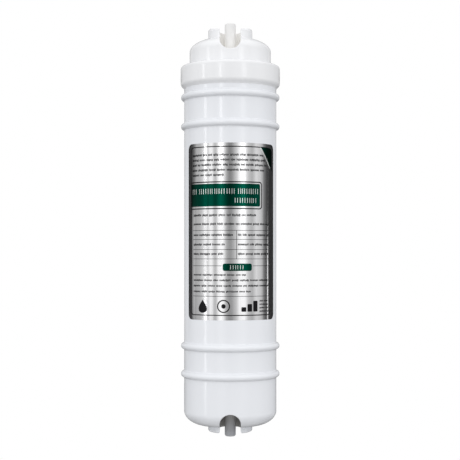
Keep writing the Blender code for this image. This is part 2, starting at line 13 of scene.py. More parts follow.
import bmesh
import bpy
import numpy as np
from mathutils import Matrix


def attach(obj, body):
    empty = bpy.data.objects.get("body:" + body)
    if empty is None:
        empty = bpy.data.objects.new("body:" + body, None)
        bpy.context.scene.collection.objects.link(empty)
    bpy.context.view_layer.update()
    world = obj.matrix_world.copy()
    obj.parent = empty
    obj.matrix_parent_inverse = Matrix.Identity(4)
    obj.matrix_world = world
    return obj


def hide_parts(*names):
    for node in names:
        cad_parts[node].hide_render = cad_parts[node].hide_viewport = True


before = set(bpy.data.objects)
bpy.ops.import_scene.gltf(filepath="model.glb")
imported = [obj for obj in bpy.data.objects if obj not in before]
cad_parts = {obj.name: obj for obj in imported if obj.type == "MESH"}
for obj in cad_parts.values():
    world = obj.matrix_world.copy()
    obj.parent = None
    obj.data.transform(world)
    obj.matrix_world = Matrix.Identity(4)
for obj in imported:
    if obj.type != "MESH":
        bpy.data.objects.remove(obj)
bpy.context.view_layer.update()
print("CAD nodes:", ", ".join(sorted(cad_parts)))

# %% [markdown]
# ## The camera
#
# The photograph is nearly a straight front view, but the ends show that the camera is close: the skirt's
# lower edge curves up and the lowest bead curves down. A level camera at the height where a ring would
# look straight gives both. Tilting it up would make the sides lean, so the frame is shifted instead,
# as with a view camera: the shift moves the picture and leaves the sides upright.

# %% Camera
IMAGE_SIDE = 460
EYE = (0.0, -0.846, -0.020)
FOCAL_PIXELS = 1162.0
AXIS_COLUMN = 230.25
HORIZON_ROW = 257.4
SENSOR = 36.0

camera_data = bpy.data.cameras.new("camera")
camera_data.sensor_width = SENSOR
camera_data.lens = FOCAL_PIXELS * SENSOR / IMAGE_SIDE
camera_data.shift_x = (IMAGE_SIDE / 2 - AXIS_COLUMN) / IMAGE_SIDE
camera_data.shift_y = (HORIZON_ROW - IMAGE_SIDE / 2) / IMAGE_SIDE
camera = bpy.data.objects.new("camera", camera_data)
camera.location = EYE
camera.rotation_euler = (math.pi / 2, 0.0, 0.0)
bpy.context.scene.collection.objects.link(camera)
bpy.context.scene.camera = camera
bpy.context.scene.view_settings.view_transform = "Standard"
print(f"camera: {camera_data.lens:.1f} mm lens, {-EYE[1]:.3f} m in front of the axis")

# %% [markdown]
# ## Surfaces from arrays
#
# Nearly every form on this object is turned: a profile carried round the axis. In numpy that is one
# multiplication of the profile's radii by the cosines and sines of all the angles, which gives a grid
# of points, and a grid of points needs only its corner numbers to become faces. The same grid of faces
# then serves the collars, the cutters and the print, so it is written once.

# %% A grid of points becomes a piece
def grid_faces(rows, columns, ring_rows, ring_columns):
    """Corner numbers of a grid's faces; rows or columns that are rings also join their last to the first."""
    row = np.arange(rows if ring_rows else rows - 1)[:, None]
    column = np.arange(columns if ring_columns else columns - 1)[None, :]
    next_row = (row + 1) % rows
    next_column = (column + 1) % columns
    corners = (
        row * columns + column,
        row * columns + next_column,
        next_row * columns + next_column,
        next_row * columns + column,
    )
    return np.stack(np.broadcast_arrays(*corners), axis=-1).reshape(-1, 4)


def close_up(mesh):
    """Merge doubled points at poles and seams, and turn all faces outwards."""
    shape = bmesh.new()
    shape.from_mesh(mesh)
    bmesh.ops.remove_doubles(shape, verts=shape.verts, dist=1e-7)
    bmesh.ops.dissolve_degenerate(shape, edges=shape.edges, dist=1e-8)
    bmesh.ops.recalc_face_normals(shape, faces=shape.faces)
    shape.to_mesh(mesh)
    shape.free()


def add_piece(name, points, faces):
    """A mesh object at the origin from points (n, 3) and lists of corner numbers."""
    mesh = bpy.data.meshes.new(name)
    mesh.from_pydata(points.reshape(-1, 3).tolist(), [], [list(map(int, face)) for face in faces])
    close_up(mesh)
    piece = bpy.data.objects.new(name, mesh)
    bpy.context.scene.collection.objects.link(piece)
    return piece


print("grids of points can become pieces")

# %% Arcs, turned forms and stacks
def arc(centre, size, start, end, steps):
    """Points (r, z) at centre + size * (cos, sin) of evenly spaced degrees; size is one radius, or two."""
    angle = np.radians(np.linspace(start, end, steps + 1))
    return np.asarray(centre) + np.column_stack((np.cos(angle), np.sin(angle))) * size


def straight(start, end, steps):
    """Evenly spaced points (r, z) from start to end, without the last one."""
    return np.linspace(start, end, steps + 1)[:-1]


def turned(name, profile, facets):
    """A profile of (r, z) carried round the axis: x = r cos t, y = r sin t, for t from 0 to a full turn."""
    profile = np.vstack(profile)
    angle = 2 * np.pi * np.arange(facets) / facets
    around = np.stack((np.cos(angle), np.sin(angle)), axis=-1)
    grid = np.empty((len(profile), facets, 3))
    grid[..., :2] = profile[:, None, :1] * around[None]
    grid[..., 2] = profile[:, None, 1]
    on_axis = profile[0, 0] == 0.0 and profile[-1, 0] == 0.0
    return add_piece(name, grid, grid_faces(len(profile), facets, not on_axis, True))


def stacked(name, grid):
    """Closed outlines on top of each other, a grid (outlines, points, 3), with a flat face at both ends."""
    rows, count = grid.shape[:2]
    ends = [range(count), range((rows - 1) * count, rows * count)]
    return add_piece(name, grid, list(grid_faces(rows, count, False, True)) + ends)


HOUSING_FACETS = 192
STEM_FACETS = 96
print(f"turned pieces get {HOUSING_FACETS} facets round the housing and {STEM_FACETS} round the stems")

# %% [markdown]
# ## Cutting
#
# A slot could be left out of the grid from the start, but a Boolean cut is easier to follow, and the cut
# can carry its own rounded rim if the cutter flares where it leaves the surface. The result is made
# into a plain mesh at once, so no modifier is left waiting and the cutter can be thrown away.

# %% Cut, join or trim, and keep the result
SHARP_EDGE = math.radians(32.0)


def work(piece, tool, operation):
    """Boolean of piece with tool, taken up into the piece's mesh; the tool is removed."""
    step = piece.modifiers.new("work", "BOOLEAN")
    step.operation = operation
    step.solver = "EXACT"
    step.object = tool
    depsgraph = bpy.context.evaluated_depsgraph_get()
    worked = bpy.data.meshes.new_from_object(piece.evaluated_get(depsgraph))
    piece.modifiers.clear()
    piece.data = worked
    worked.name = piece.name
    bpy.data.objects.remove(tool)


def shade(piece):
    """Smooth shading, except over edges that are really sharp."""
    piece.data.shade_smooth()
    piece.data.set_sharp_from_angle(angle=SHARP_EDGE)


def outline_prism(name, outline, near, far):
    """A closed outline of (x, z) points carried along Y from near to far, with flat ends."""
    grid = np.empty((2, len(outline), 3))
    grid[..., 0], grid[..., 2] = np.transpose(outline)
    grid[..., 1] = [[near], [far]]
    return stacked(name, grid)


print(f"edges over {math.degrees(SHARP_EDGE):.0f} degrees stay sharp")

# %% [markdown]
# ## The profiles of barrel and cap
#
# The housing is two mouldings. Their outlines were fitted to the photograph's silhouette: a barrel of
# 67 mm, beads that are half rounds with hollow feet, elliptical corners at both ends, and a skirt that
# stands 2.5 mm proud. The sizes below are those of the CAD model, except that the outlet's collar and
# the inlet's lugs are rounded less, as the photograph has them. Cutters run out to OPEN_END or OPEN_SIDE,
# or on by PAST, so that they end beyond all material. In the profile, a LID closes each well until it
# is bored.

# %% Sizes shared by the two mouldings
WALL = 0.0025
GAP = 0.0003
BARREL_RADIUS = 0.0335
BARREL_BORE = BARREL_RADIUS - WALL
BARREL_RIM_Z = 0.1155
COLLAR_RADIUS = 0.0160
SLOT_RADIUS = 0.0075
CUP_RADIUS = 0.0093
WELL_RADIUS = CUP_RADIUS + GAP
HUB_WALL = 0.0022
HUB_RADIUS = WELL_RADIUS + HUB_WALL
CUP_FLOOR = 0.0022
SPIGOT_RADIUS = 0.0065
SPIGOT_LENGTH = 0.0095
SPIGOT_BORE = SPIGOT_RADIUS + GAP
OPEN_END = 0.1600
OPEN_SIDE = 0.0500
PAST = 0.0100
LID = 0.0010
EDGE = 0.0004
BEVEL = 0.0005
HOLD = 0.0002
print(f"barrel {2000 * BARREL_RADIUS:.0f} mm, collars {2000 * COLLAR_RADIUS:.0f} mm across")

# %% Barrel profile
BEAD_CENTRES = (0.09583, 0.07480, -0.08392, -0.10430)
BEAD_RADIUS = 0.0024
BEAD_FOOT = 0.0010
BEAD_SINK = 0.0001
CORNER_Z = -0.1311
CORNER = np.array((0.0149, 0.0102))
FLAT_RADIUS = BARREL_RADIUS - CORNER[0]
FLAT_Z = CORNER_Z - CORNER[1]
OUTLET_LUG_Z = -0.1462
OUTLET_RIM_Z = -0.1441
OUTLET_ROUND = 0.0014
OUTLET_SLOT_Z = -0.1378
OUTLET_SEAT_Z = OUTLET_SLOT_Z + SLOT_RADIUS + CUP_FLOOR + GAP
SOCKET_FLOOR_Z = OUTLET_SEAT_Z + SPIGOT_LENGTH + GAP
SOCKET_RIM_Z = SOCKET_FLOOR_Z + 0.0165
SOCKET_RADIUS = 0.0088


def held(start, end):
    """Two rings just inside a straight side's ends; without them, smooth shading bends the whole side."""
    start, end = np.array(start), np.array(end)
    step = HOLD * (end - start) / np.hypot(*(end - start))
    return np.array((start + step, end - step))


def bead(centre_z):
    """One bead from its upper to its lower foot: two hollow quarter rounds and the crown between them."""
    lean = math.degrees(math.asin((BEAD_FOOT + BEAD_SINK) / (BEAD_RADIUS + BEAD_FOOT)))
    foot_z = (BEAD_RADIUS + BEAD_FOOT) * math.cos(math.radians(lean))
    foot_r = BARREL_RADIUS + BEAD_FOOT
    return np.vstack((
        [(BARREL_RADIUS, centre_z + foot_z + HOLD)],
        arc((foot_r, centre_z + foot_z), BEAD_FOOT, 180.0, 270.0 - lean, 6),
        arc((BARREL_RADIUS - BEAD_SINK, centre_z), BEAD_RADIUS, 90.0 - lean, lean - 90.0, 16)[1:-1],
        arc((foot_r, centre_z - foot_z), BEAD_FOOT, 90.0 + lean, 180.0, 6),
        [(BARREL_RADIUS, centre_z - foot_z - HOLD)],
    ))


barrel_profile = [
    [(0.0, SOCKET_RIM_Z), (HUB_RADIUS, SOCKET_RIM_Z), (HUB_RADIUS, FLAT_Z + WALL)],
    arc((FLAT_RADIUS, CORNER_Z), CORNER - WALL, -90.0, 0.0, 12),
    [(BARREL_BORE, BARREL_RIM_Z - BEVEL), (BARREL_BORE + BEVEL, BARREL_RIM_Z)],
    [(BARREL_RADIUS - BEVEL, BARREL_RIM_Z), (BARREL_RADIUS, BARREL_RIM_Z - BEVEL)],
    [(BARREL_RADIUS, BARREL_RIM_Z - BEVEL - HOLD)],
    *[bead(centre_z) for centre_z in BEAD_CENTRES],
    straight((BARREL_RADIUS, CORNER_Z + 0.0040), (BARREL_RADIUS, CORNER_Z), 8),
    arc((FLAT_RADIUS, CORNER_Z), CORNER, 0.0, -90.0, 40),
    arc((COLLAR_RADIUS + EDGE, FLAT_Z - EDGE), EDGE, 90.0, 180.0, 4),
    held((COLLAR_RADIUS, FLAT_Z - EDGE), (COLLAR_RADIUS, OUTLET_LUG_Z + OUTLET_ROUND)),
    arc((COLLAR_RADIUS - OUTLET_ROUND, OUTLET_LUG_Z + OUTLET_ROUND), OUTLET_ROUND, 0.0, -90.0, 12),
    arc((WELL_RADIUS + EDGE, OUTLET_LUG_Z + EDGE), EDGE, -90.0, -180.0, 4),
    [(WELL_RADIUS, OUTLET_LUG_Z + LID), (0.0, OUTLET_LUG_Z + LID)],
]
print(f"barrel profile: {len(np.vstack(barrel_profile))} points")

# %% Cap profile
SKIRT_RADIUS = 0.03605
SKIRT_TOP_Z = 0.1186
SKIRT_SIDE_Z = 0.1062
SKIRT_EDGE_Z = 0.1022
SKIRT_TOP_ROUND = 0.0024
SKIRT_EDGE_ROUND = 0.0034
NECK_RADIUS = 0.02954
DOME_Z = 0.1288
DOME = np.array((0.0224, 0.0100))
DOME_FLAT = NECK_RADIUS - DOME[0]
INLET_RIM_Z = 0.1440
INLET_LUG_Z = 0.1454
INLET_ROUND = 0.0011
INLET_SLOT_Z = 0.1345
INLET_SEAT_Z = INLET_SLOT_Z - SLOT_RADIUS - CUP_FLOOR - GAP
INLET_HUB_END_Z = INLET_SEAT_Z - SPIGOT_LENGTH + GAP
COLLAR_FOOT_Z = 0.1386
COLLAR_FOOT = 0.0006
RIM_EDGE = 0.0007
TONGUE_END_Z = 0.1100
TONGUE_WALL = 0.0020

dome_foot = math.degrees(math.acos((COLLAR_RADIUS + BEVEL - DOME_FLAT) / DOME[0]))
inner_dome = DOME - WALL
hub_foot = math.degrees(math.acos((HUB_RADIUS - DOME_FLAT) / inner_dome[0]))
tongue = BARREL_BORE - GAP
spigot_hub = SPIGOT_BORE + HUB_WALL
cap_profile = [
    [(0.0, INLET_RIM_Z - LID), (WELL_RADIUS, INLET_RIM_Z - LID)],
    arc((WELL_RADIUS + EDGE, INLET_RIM_Z - EDGE), EDGE, 180.0, 90.0, 4),
    arc((COLLAR_RADIUS - RIM_EDGE, INLET_RIM_Z - RIM_EDGE), RIM_EDGE, 90.0, 0.0, 8),
    held((COLLAR_RADIUS, INLET_RIM_Z - RIM_EDGE), (COLLAR_RADIUS, COLLAR_FOOT_Z)),
    arc((COLLAR_RADIUS + COLLAR_FOOT, COLLAR_FOOT_Z), COLLAR_FOOT, 180.0, 250.0, 5)[:-1],
    arc((DOME_FLAT, DOME_Z), DOME, dome_foot, 0.0, 44),
    held((NECK_RADIUS, DOME_Z), (NECK_RADIUS, SKIRT_TOP_Z + BEVEL)),
    arc((NECK_RADIUS + BEVEL, SKIRT_TOP_Z + BEVEL), BEVEL, 180.0, 270.0, 4),
    arc((SKIRT_RADIUS - SKIRT_TOP_ROUND, SKIRT_TOP_Z - SKIRT_TOP_ROUND), SKIRT_TOP_ROUND, 90.0, 0.0, 12),
    held((SKIRT_RADIUS, SKIRT_TOP_Z - SKIRT_TOP_ROUND), (SKIRT_RADIUS, SKIRT_SIDE_Z)),
    arc((SKIRT_RADIUS - SKIRT_EDGE_ROUND, SKIRT_SIDE_Z), SKIRT_EDGE_ROUND, 0.0, -60.0, 10),
    [(BARREL_RADIUS + 0.00002, SKIRT_EDGE_Z), (BARREL_RADIUS + GAP, SKIRT_EDGE_Z + EDGE)],
    [(BARREL_RADIUS + GAP, BARREL_RIM_Z + GAP), (tongue, BARREL_RIM_Z + GAP), (tongue, TONGUE_END_Z)],
    [(tongue - TONGUE_WALL, TONGUE_END_Z), (tongue - TONGUE_WALL, BARREL_RIM_Z)],
    [(NECK_RADIUS - WALL, BARREL_RIM_Z + WALL)],
    arc((DOME_FLAT, DOME_Z), inner_dome, 0.0, hub_foot, 12),
    [(HUB_RADIUS, INLET_SEAT_Z - HUB_WALL), (spigot_hub, INLET_SEAT_Z - HUB_WALL)],
    [(spigot_hub, INLET_HUB_END_Z), (0.0, INLET_HUB_END_Z)],
]
print(f"cap profile: {len(np.vstack(cap_profile))} points")

# %% [markdown]
# ## A slot with a rounded rim
#
# Both collars are slotted at the front so that the fitting's side arm can pass. A plain cutter would
# leave a knife edge. Here the cutter is a surface of two parameters: one runs along the U of the slot,
# the other runs out from the axis. Where it reaches the skin, whose radius at every height is known,
# it turns outwards on a parabola, from the slot's wall through the corner to the skin. Near the lugs'
# tops the U itself flares too, which rounds the lugs' inner edges.

# %% The flared slot cutter
RIM_ROUND = 0.00075
LUG_INNER_ROUND = 0.0016
SINK = 0.00003


def slot_path(slot_z, lug_z, end):
    """The U from one open end to the other as (x, height towards the tip), with its outward directions."""
    centre, top = slot_z * end, lug_z * end
    turn = np.radians(np.linspace(0.0, 76.0, 9))
    flare_x = SLOT_RADIUS + LUG_INNER_ROUND * (1 - np.cos(turn))
    flare_h = top - LUG_INNER_ROUND + LUG_INNER_ROUND * np.sin(turn) + SINK
    side_h = np.linspace(centre, flare_h[0], 16)[1:-1]
    right = np.vstack((
        np.column_stack((np.full(len(side_h), SLOT_RADIUS), side_h)),
        np.column_stack((flare_x, flare_h)),
        [(flare_x[-1] + 0.0001, OPEN_END)],
    ))
    bend = np.radians(np.linspace(-180.0, 0.0, 49))
    bottom = np.column_stack((SLOT_RADIUS * np.cos(bend), centre + SLOT_RADIUS * np.sin(bend)))
    left = (right * (-1, 1))[::-1]
    path = np.vstack((left, bottom, right))
    out = np.vstack((
        np.tile((-1.0, 0.0), (len(left), 1)),
        np.column_stack((np.cos(bend), np.sin(bend))),
        np.tile((1.0, 0.0), (len(right), 1)),
    ))
    return path, out


def flared_slot(name, slot_z, lug_z, end, skin_radius):
    """Cutter p(s, t), t from 0 to 1: the U at s, pushed out by q t^2 and back off the skin by q (1 - t)^2."""
    path, out = slot_path(slot_z, lug_z, end)

    def skin_y(points):
        """The skin in front of each point: y = -sqrt(r^2 - x^2)."""
        return -np.sqrt(skin_radius(points[:, 1]) ** 2 - points[:, 0] ** 2)

    corner_y = skin_y(path)
    rim_y = skin_y(path + RIM_ROUND * out) - SINK
    rows = [(path, np.zeros(len(path)))]
    for t in np.linspace(0.0, 1.0, 9):
        y = (1 - t) ** 2 * (corner_y + RIM_ROUND) + 2 * t * (1 - t) * corner_y + t ** 2 * rim_y
        rows.append((path + RIM_ROUND * t ** 2 * out, y))
    rows.append((path + (RIM_ROUND + 0.0002) * out, np.full(len(path), -OPEN_SIDE)))
    grid = np.empty((len(rows), len(path), 3))
    for row, (points, y) in enumerate(rows):
        grid[row, :, 0], grid[row, :, 1], grid[row, :, 2] = points[:, 0], y, points[:, 1] * end
    return stacked(name, grid)


def dome_radius(foot_h, dome, flat_radius):
    """The skin's radius as a function of height: straight, then an ellipse, but never inside the collar."""
    def radius(height):
        """r = flat radius + a sqrt(1 - u^2), where u grows from 0 at the foot to 1 at the ellipse's end."""
        up = np.clip((height - foot_h) / dome[1], 0.0, 1.0)
        return np.maximum(flat_radius + dome[0] * np.sqrt(1 - up ** 2), COLLAR_RADIUS)
    return radius


print(f"slot rims are rounded over {1000 * RIM_ROUND:.2f} mm")

# %% [markdown]
# ## Ports
#
# Inside the wall, a trough of the slot's own form leads from the outer skin to the round hub, so that
# the slot doesn't open the sealed housing. Then the stepped well for the stem insert is bored, and the
# slot is cut last, through skin, trough and hub in one pass.

# %% Trough, well and slot
def u_outline(radius, slot_z, end):
    """A plain U of (x, z) that opens beyond the tip."""
    bend = arc((0.0, slot_z), (radius, radius * end), 180.0, 360.0, 48)
    return np.vstack((bend, [(radius, OPEN_END * end), (-radius, OPEN_END * end)]))


def add_port(piece, end, slot_z, lug_z, seat_z, hub_end_z, inset, skin_radius):
    """Join the trough, bore the stepped well and cut the flared slot."""
    trough = outline_prism("trough", u_outline(SLOT_RADIUS + HUB_WALL, slot_z, end), -OPEN_SIDE, 0.0)
    work(trough, turned("inset", inset, HOUSING_FACETS), "INTERSECT")
    work(piece, trough, "UNION")
    beyond = hub_end_z - PAST * end
    well = [
        [(0.0, OPEN_END * end), (WELL_RADIUS, OPEN_END * end), (WELL_RADIUS, seat_z)],
        [(SPIGOT_BORE, seat_z), (SPIGOT_BORE, beyond), (0.0, beyond)],
    ]
    work(piece, turned("well", well, STEM_FACETS), "DIFFERENCE")
    work(piece, flared_slot("slot", slot_z, lug_z, end, skin_radius), "DIFFERENCE")


print("port: trough, well, slot")

# %% Barrel
barrel = turned("barrel_skin", barrel_profile, HOUSING_FACETS)
half = WALL / 2
barrel_inset = [
    [(0.0, SOCKET_RIM_Z)],
    straight((BARREL_RADIUS - half, SOCKET_RIM_Z), (BARREL_RADIUS - half, CORNER_Z), 1),
    arc((FLAT_RADIUS, CORNER_Z), CORNER - half, 0.0, -90.0, 24),
    [(0.0, FLAT_Z + half)],
]
barrel_skin = dome_radius(-CORNER_Z, CORNER, FLAT_RADIUS)
add_port(barrel, -1, OUTLET_SLOT_Z, OUTLET_LUG_Z, OUTLET_SEAT_Z, SOCKET_FLOOR_Z, barrel_inset, barrel_skin)
socket = [
    [(0.0, SOCKET_RIM_Z + PAST), (SOCKET_RADIUS, SOCKET_RIM_Z + PAST)],
    [(SOCKET_RADIUS, SOCKET_FLOOR_Z), (0.0, SOCKET_FLOOR_Z)],
]
work(barrel, turned("socket", socket, STEM_FACETS), "DIFFERENCE")
side = SLOT_RADIUS + LUG_INNER_ROUND
flare_z = OUTLET_LUG_Z + LUG_INNER_ROUND
low_rim = np.vstack((
    arc((side, flare_z), LUG_INNER_ROUND, 180.0, 256.0, 8),
    [(side, -OPEN_END), (-side, -OPEN_END)],
    arc((-side, flare_z), LUG_INNER_ROUND, 284.0, 360.0, 8),
    [(-SLOT_RADIUS, OUTLET_RIM_Z), (SLOT_RADIUS, OUTLET_RIM_Z)],
))
work(barrel, outline_prism("low_rim", low_rim, 0.0, OPEN_SIDE), "DIFFERENCE")
shade(barrel)
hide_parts("housing_body")
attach(barrel, "root")
print(f"barrel: {len(barrel.data.polygons)} faces")

# %% [markdown]
# ## The two lugs of the inlet collar
#
# Beside the white stem, the collar carries two flat-topped lugs. Each is a stack of outlines: two straight
# sides, an arc of the collar's circle and a straight inner side. Towards the top the outline shrinks
# as a quarter round does, so all the lug's top edges come out rounded. The lug is sunk by a hair into
# the collar and the slot, because a Boolean needs surfaces that cross and not surfaces that coincide.

# %% Lugs
LUG_HALF_LENGTH = 0.0080
LUG_ROOT = 0.0015
SIDE_POINTS = 12


def lug_outline(shrink):
    """Closed outline of a lug in plan, inset by shrink on all sides."""
    radius = COLLAR_RADIUS - SINK - shrink
    half_length = LUG_HALF_LENGTH - shrink
    inner_x = SLOT_RADIUS - SINK + shrink
    reach = math.degrees(math.asin(half_length / radius))
    outer = arc((0.0, 0.0), radius, -reach, reach, 2 * SIDE_POINTS)
    near = straight((inner_x, -half_length), outer[0], SIDE_POINTS)
    far = straight(outer[-1], (inner_x, half_length), SIDE_POINTS)
    inner = straight((inner_x, half_length), (inner_x, -half_length), SIDE_POINTS)
    return np.vstack((near, outer[:-1], far, inner))


def lug(side):
    """Outlines stacked from inside the collar to the lug's top, closed at both ends."""
    turn = np.radians(np.linspace(0.0, 90.0, 11))
    shrinks = [0.0, *INLET_ROUND * (1 - np.cos(turn))]
    heights = [INLET_RIM_Z - LUG_ROOT, *INLET_LUG_Z - INLET_ROUND * (1 - np.sin(turn))]
    layers = [np.insert(lug_outline(shrink), 2, height, axis=1) for shrink, height in zip(shrinks, heights)]
    return stacked("lug", np.stack(layers) * (side, 1.0, 1.0))


lug_height = INLET_LUG_Z - INLET_RIM_Z
print(f"lugs: {2000 * LUG_HALF_LENGTH:.0f} mm long, {1000 * lug_height:.1f} mm above the rim")

# %% Cap
cap = turned("cap_skin", cap_profile, HOUSING_FACETS)
work(cap, lug(1.0), "UNION")
work(cap, lug(-1.0), "UNION")
cap_inset = [
    [(0.0, DOME_Z + DOME[1] - half)],
    arc((DOME_FLAT, DOME_Z), DOME - half, 90.0, 0.0, 24),
    [(NECK_RADIUS - half, SKIRT_TOP_Z), (0.0, SKIRT_TOP_Z)],
]
cap_skin = dome_radius(DOME_Z, DOME, DOME_FLAT)
add_port(cap, 1, INLET_SLOT_Z, INLET_LUG_Z, INLET_SEAT_Z, INLET_HUB_END_Z, cap_inset, cap_skin)
shade(cap)
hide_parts("housing_cap")
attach(cap, "root")
print(f"cap: {len(cap.data.polygons)} faces")

# %% [markdown]
# ## The stem inserts
#
# Each stem is one moulding with the cup that lines its well: white at the inlet, grey at the outlet.
# The profile is turned like the housing's. The cup's front half is opened by a plain U that is a hair
# wider than the slot, so that the housing's rounded rim hides the cut and only the round wall behind the
# stem shows. The cutter itself is bored first, so that it passes round the stem.

# %% Inserts
STEM_RADIUS = 0.0040
STEM_BORE = 0.00225
TIP_Z = 0.1500
TIP_ROUND = 0.0014
O_RING = 0.0015
STEM_FOOT = 0.0006
BORE_EDGE = 0.0003
CLEAR_RADIUS = STEM_RADIUS + 0.0007


def stem_insert(name, node, end, slot_z, rim_z):
    """Profile from the tip down the stem, over the cup and along the grooved spigot; end is 1 or -1."""
    centre, rim = slot_z * end, rim_z * end
    floor = centre - SLOT_RADIUS
    back = floor - CUP_FLOOR
    foot = back - SPIGOT_LENGTH
    groove = (back + foot) / 2
    groove_r = SPIGOT_BORE - O_RING - 2 * GAP
    side = O_RING / 2 + GAP
    profile = np.vstack((
        arc((STEM_BORE + BORE_EDGE, TIP_Z - BORE_EDGE), BORE_EDGE, 180.0, 90.0, 3),
        arc((STEM_RADIUS - TIP_ROUND, TIP_Z - TIP_ROUND), TIP_ROUND, 90.0, 0.0, 12),
        arc((STEM_RADIUS + STEM_FOOT, floor + STEM_FOOT), STEM_FOOT, 180.0, 270.0, 6),
        arc((SLOT_RADIUS - STEM_FOOT, floor + STEM_FOOT), STEM_FOOT, 270.0, 360.0, 6),
        arc((SLOT_RADIUS + EDGE, rim - EDGE), EDGE, 180.0, 90.0, 4),
        arc((CUP_RADIUS - EDGE, rim - EDGE), EDGE, 90.0, 0.0, 4),
        [(CUP_RADIUS, back), (SPIGOT_RADIUS, back), (SPIGOT_RADIUS, groove + side)],
        [(groove_r, groove + side), (groove_r, groove - side), (SPIGOT_RADIUS, groove - side)],
        [(SPIGOT_RADIUS, foot), (STEM_BORE, foot)],
    ))
    insert = turned(name, [profile * (1, end)], STEM_FACETS)
    front = outline_prism("front", u_outline(SLOT_RADIUS + GAP, slot_z, end), -0.0300, 0.0)
    past = OPEN_END + GAP
    clear = [[(0.0, -past), (CLEAR_RADIUS, -past), (CLEAR_RADIUS, past), (0.0, past)]]
    work(front, turned("clear", clear, STEM_FACETS), "DIFFERENCE")
    work(insert, front, "DIFFERENCE")
    shade(insert)
    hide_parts(node)
    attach(insert, "root")
    print(f"{name}: {len(insert.data.polygons)} faces")
    return insert


inlet = stem_insert("inlet_stem_fine", "inlet_stem", 1, INLET_SLOT_Z, INLET_RIM_Z)
outlet = stem_insert("outlet_stem_fine", "outlet_stem", -1, OUTLET_SLOT_Z, OUTLET_RIM_Z)

# %% [markdown]
# ## The label
#
# The label is a sheet of metallised film, wrapped over some 129 degrees of the barrel. Film and print are
# made the same way, as ribbons: two edges drawn flat, in metres across and up, and rolled onto the
# barrel by turning the distance across into an angle. Each ribbon has a hair's thickness, so that
# it is a closed body. The real print is words and marks. Here it is only fields and plain shapes:
# a green panel, rules, bars in the rhythm of words, a drop, a ring and three steps. A row of words is
# given by its left and right ends in degrees round the barrel, and by its height. All random draws come
# from one generator with a fixed seed, so the print comes out the same each time.

# %% Ribbons rolled onto the barrel
FILM_RADIUS = 0.03356
FILM_INSIDE = 0.03351
INK_RADIUS = 0.033585
RAISED_RADIUS = INK_RADIUS + 0.00002


def rolled(flat, radius):
    """Flat points (across, up) in metres on the barrel: angle = across / film radius, front at -Y."""
    angle = flat[..., 0] / FILM_RADIUS
    return np.stack((radius * np.sin(angle), -radius * np.cos(angle), flat[..., 1]), axis=-1)


def ribbon(edge, other_edge, inside, outside, closed=False):
    """Grid and faces of a thin closed strip between two edges, each an (n, 2) array of flat points."""
    corners = ((edge, outside), (other_edge, outside), (other_edge, inside), (edge, inside))
    grid = np.stack([rolled(flat, radius) for flat, radius in corners])
    count = grid.shape[1]
    faces = grid_faces(4, count, True, closed)
    if not closed:
        last = count - 1
        ends = [(0, count, 2 * count, 3 * count), (last, count + last, 2 * count + last, 3 * count + last)]
        faces = np.vstack((faces, ends))
    return grid.reshape(-1, 3), faces


def rolled_piece(name, ribbons):
    """One piece from several ribbons, with a UV map that holds each point's flat place in metres."""
    points = [grid for grid, _ in ribbons]
    starts = np.cumsum([0] + [len(grid) for grid in points[:-1]])
    faces = [face for start, (_, some) in zip(starts, ribbons) for face in (some + start)]
    piece = add_piece(name, np.vstack(points), faces)
    mesh = piece.data
    place = np.empty(3 * len(mesh.vertices))
    mesh.vertices.foreach_get("co", place)
    x, y, z = place.reshape(-1, 3).T
    flat = np.column_stack((np.arctan2(x, -y) * FILM_RADIUS, z))
    corner = np.empty(len(mesh.loops), dtype=int)
    mesh.loops.foreach_get("vertex_index", corner)
    mesh.uv_layers.new(name="flat").uv.foreach_set("vector", flat[corner].ravel())
    shade(piece)
    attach(piece, "root")
    print(f"{name}: {len(ribbons)} ribbons, {len(mesh.polygons)} faces")
    return piece


def across(degrees):
    """Distance across the film, from the front, for an angle on the barrel."""
    return np.radians(degrees) * FILM_RADIUS


print(f"film on radius {1000 * FILM_RADIUS:.2f} mm")

# %% Film
LABEL_LEFT, LABEL_RIGHT = across(-62.2), across(66.6)
LABEL_LOW, LABEL_HIGH = -0.0641, 0.0604
LABEL_ROUND = 0.0042
COLUMN_WIDTH = 0.0010


def lift(radius, distance):
    """How far a rounded corner lies in from its straight edge, at a distance from the side."""
    inside = np.clip(radius - distance, 0.0, radius)
    return radius - np.sqrt(radius ** 2 - inside ** 2)


def field(left, right, low, high, corners=(0, 0, 0, 0)):
    """Lower and upper edge of a rectangle; corners are its rounds, anticlockwise from the lower left."""
    low_left, low_right, high_right, high_left = corners
    corner_turn = 1 - np.sin(np.radians(np.linspace(0.0, 90.0, 7)))
    steps = max(int((right - left) / COLUMN_WIDTH), 1)
    near_left = left + max(low_left, high_left) * corner_turn
    near_right = right - max(low_right, high_right) * corner_turn
    x = np.unique(np.round(np.concatenate((np.linspace(left, right, steps + 1), near_left, near_right)), 8))
    bottom = low + lift(low_left, x - left) + lift(low_right, right - x)
    top = high - lift(high_left, x - left) - lift(high_right, right - x)
    return np.column_stack((x, bottom)), np.column_stack((x, top))


film_edges = field(LABEL_LEFT, LABEL_RIGHT, LABEL_LOW, LABEL_HIGH, (LABEL_ROUND,) * 4)
film = rolled_piece("label_film", [ribbon(*film_edges, FILM_INSIDE, FILM_RADIUS)])
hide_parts("label")

# %% Strokes, bars and shapes
def stroke(path, width, closed=False):
    """A line of even width along flat points: each point moves half the width to both sides of the path."""
    path = np.asarray(path, dtype=float)
    if closed:
        along = np.roll(path, -1, axis=0) - np.roll(path, 1, axis=0)
    else:
        along = np.gradient(path, axis=0)
    side = np.column_stack((-along[:, 1], along[:, 0])) / np.hypot(*along.T)[:, None]
    return ribbon(path - side * width / 2, path + side * width / 2, FILM_RADIUS, INK_RADIUS, closed)


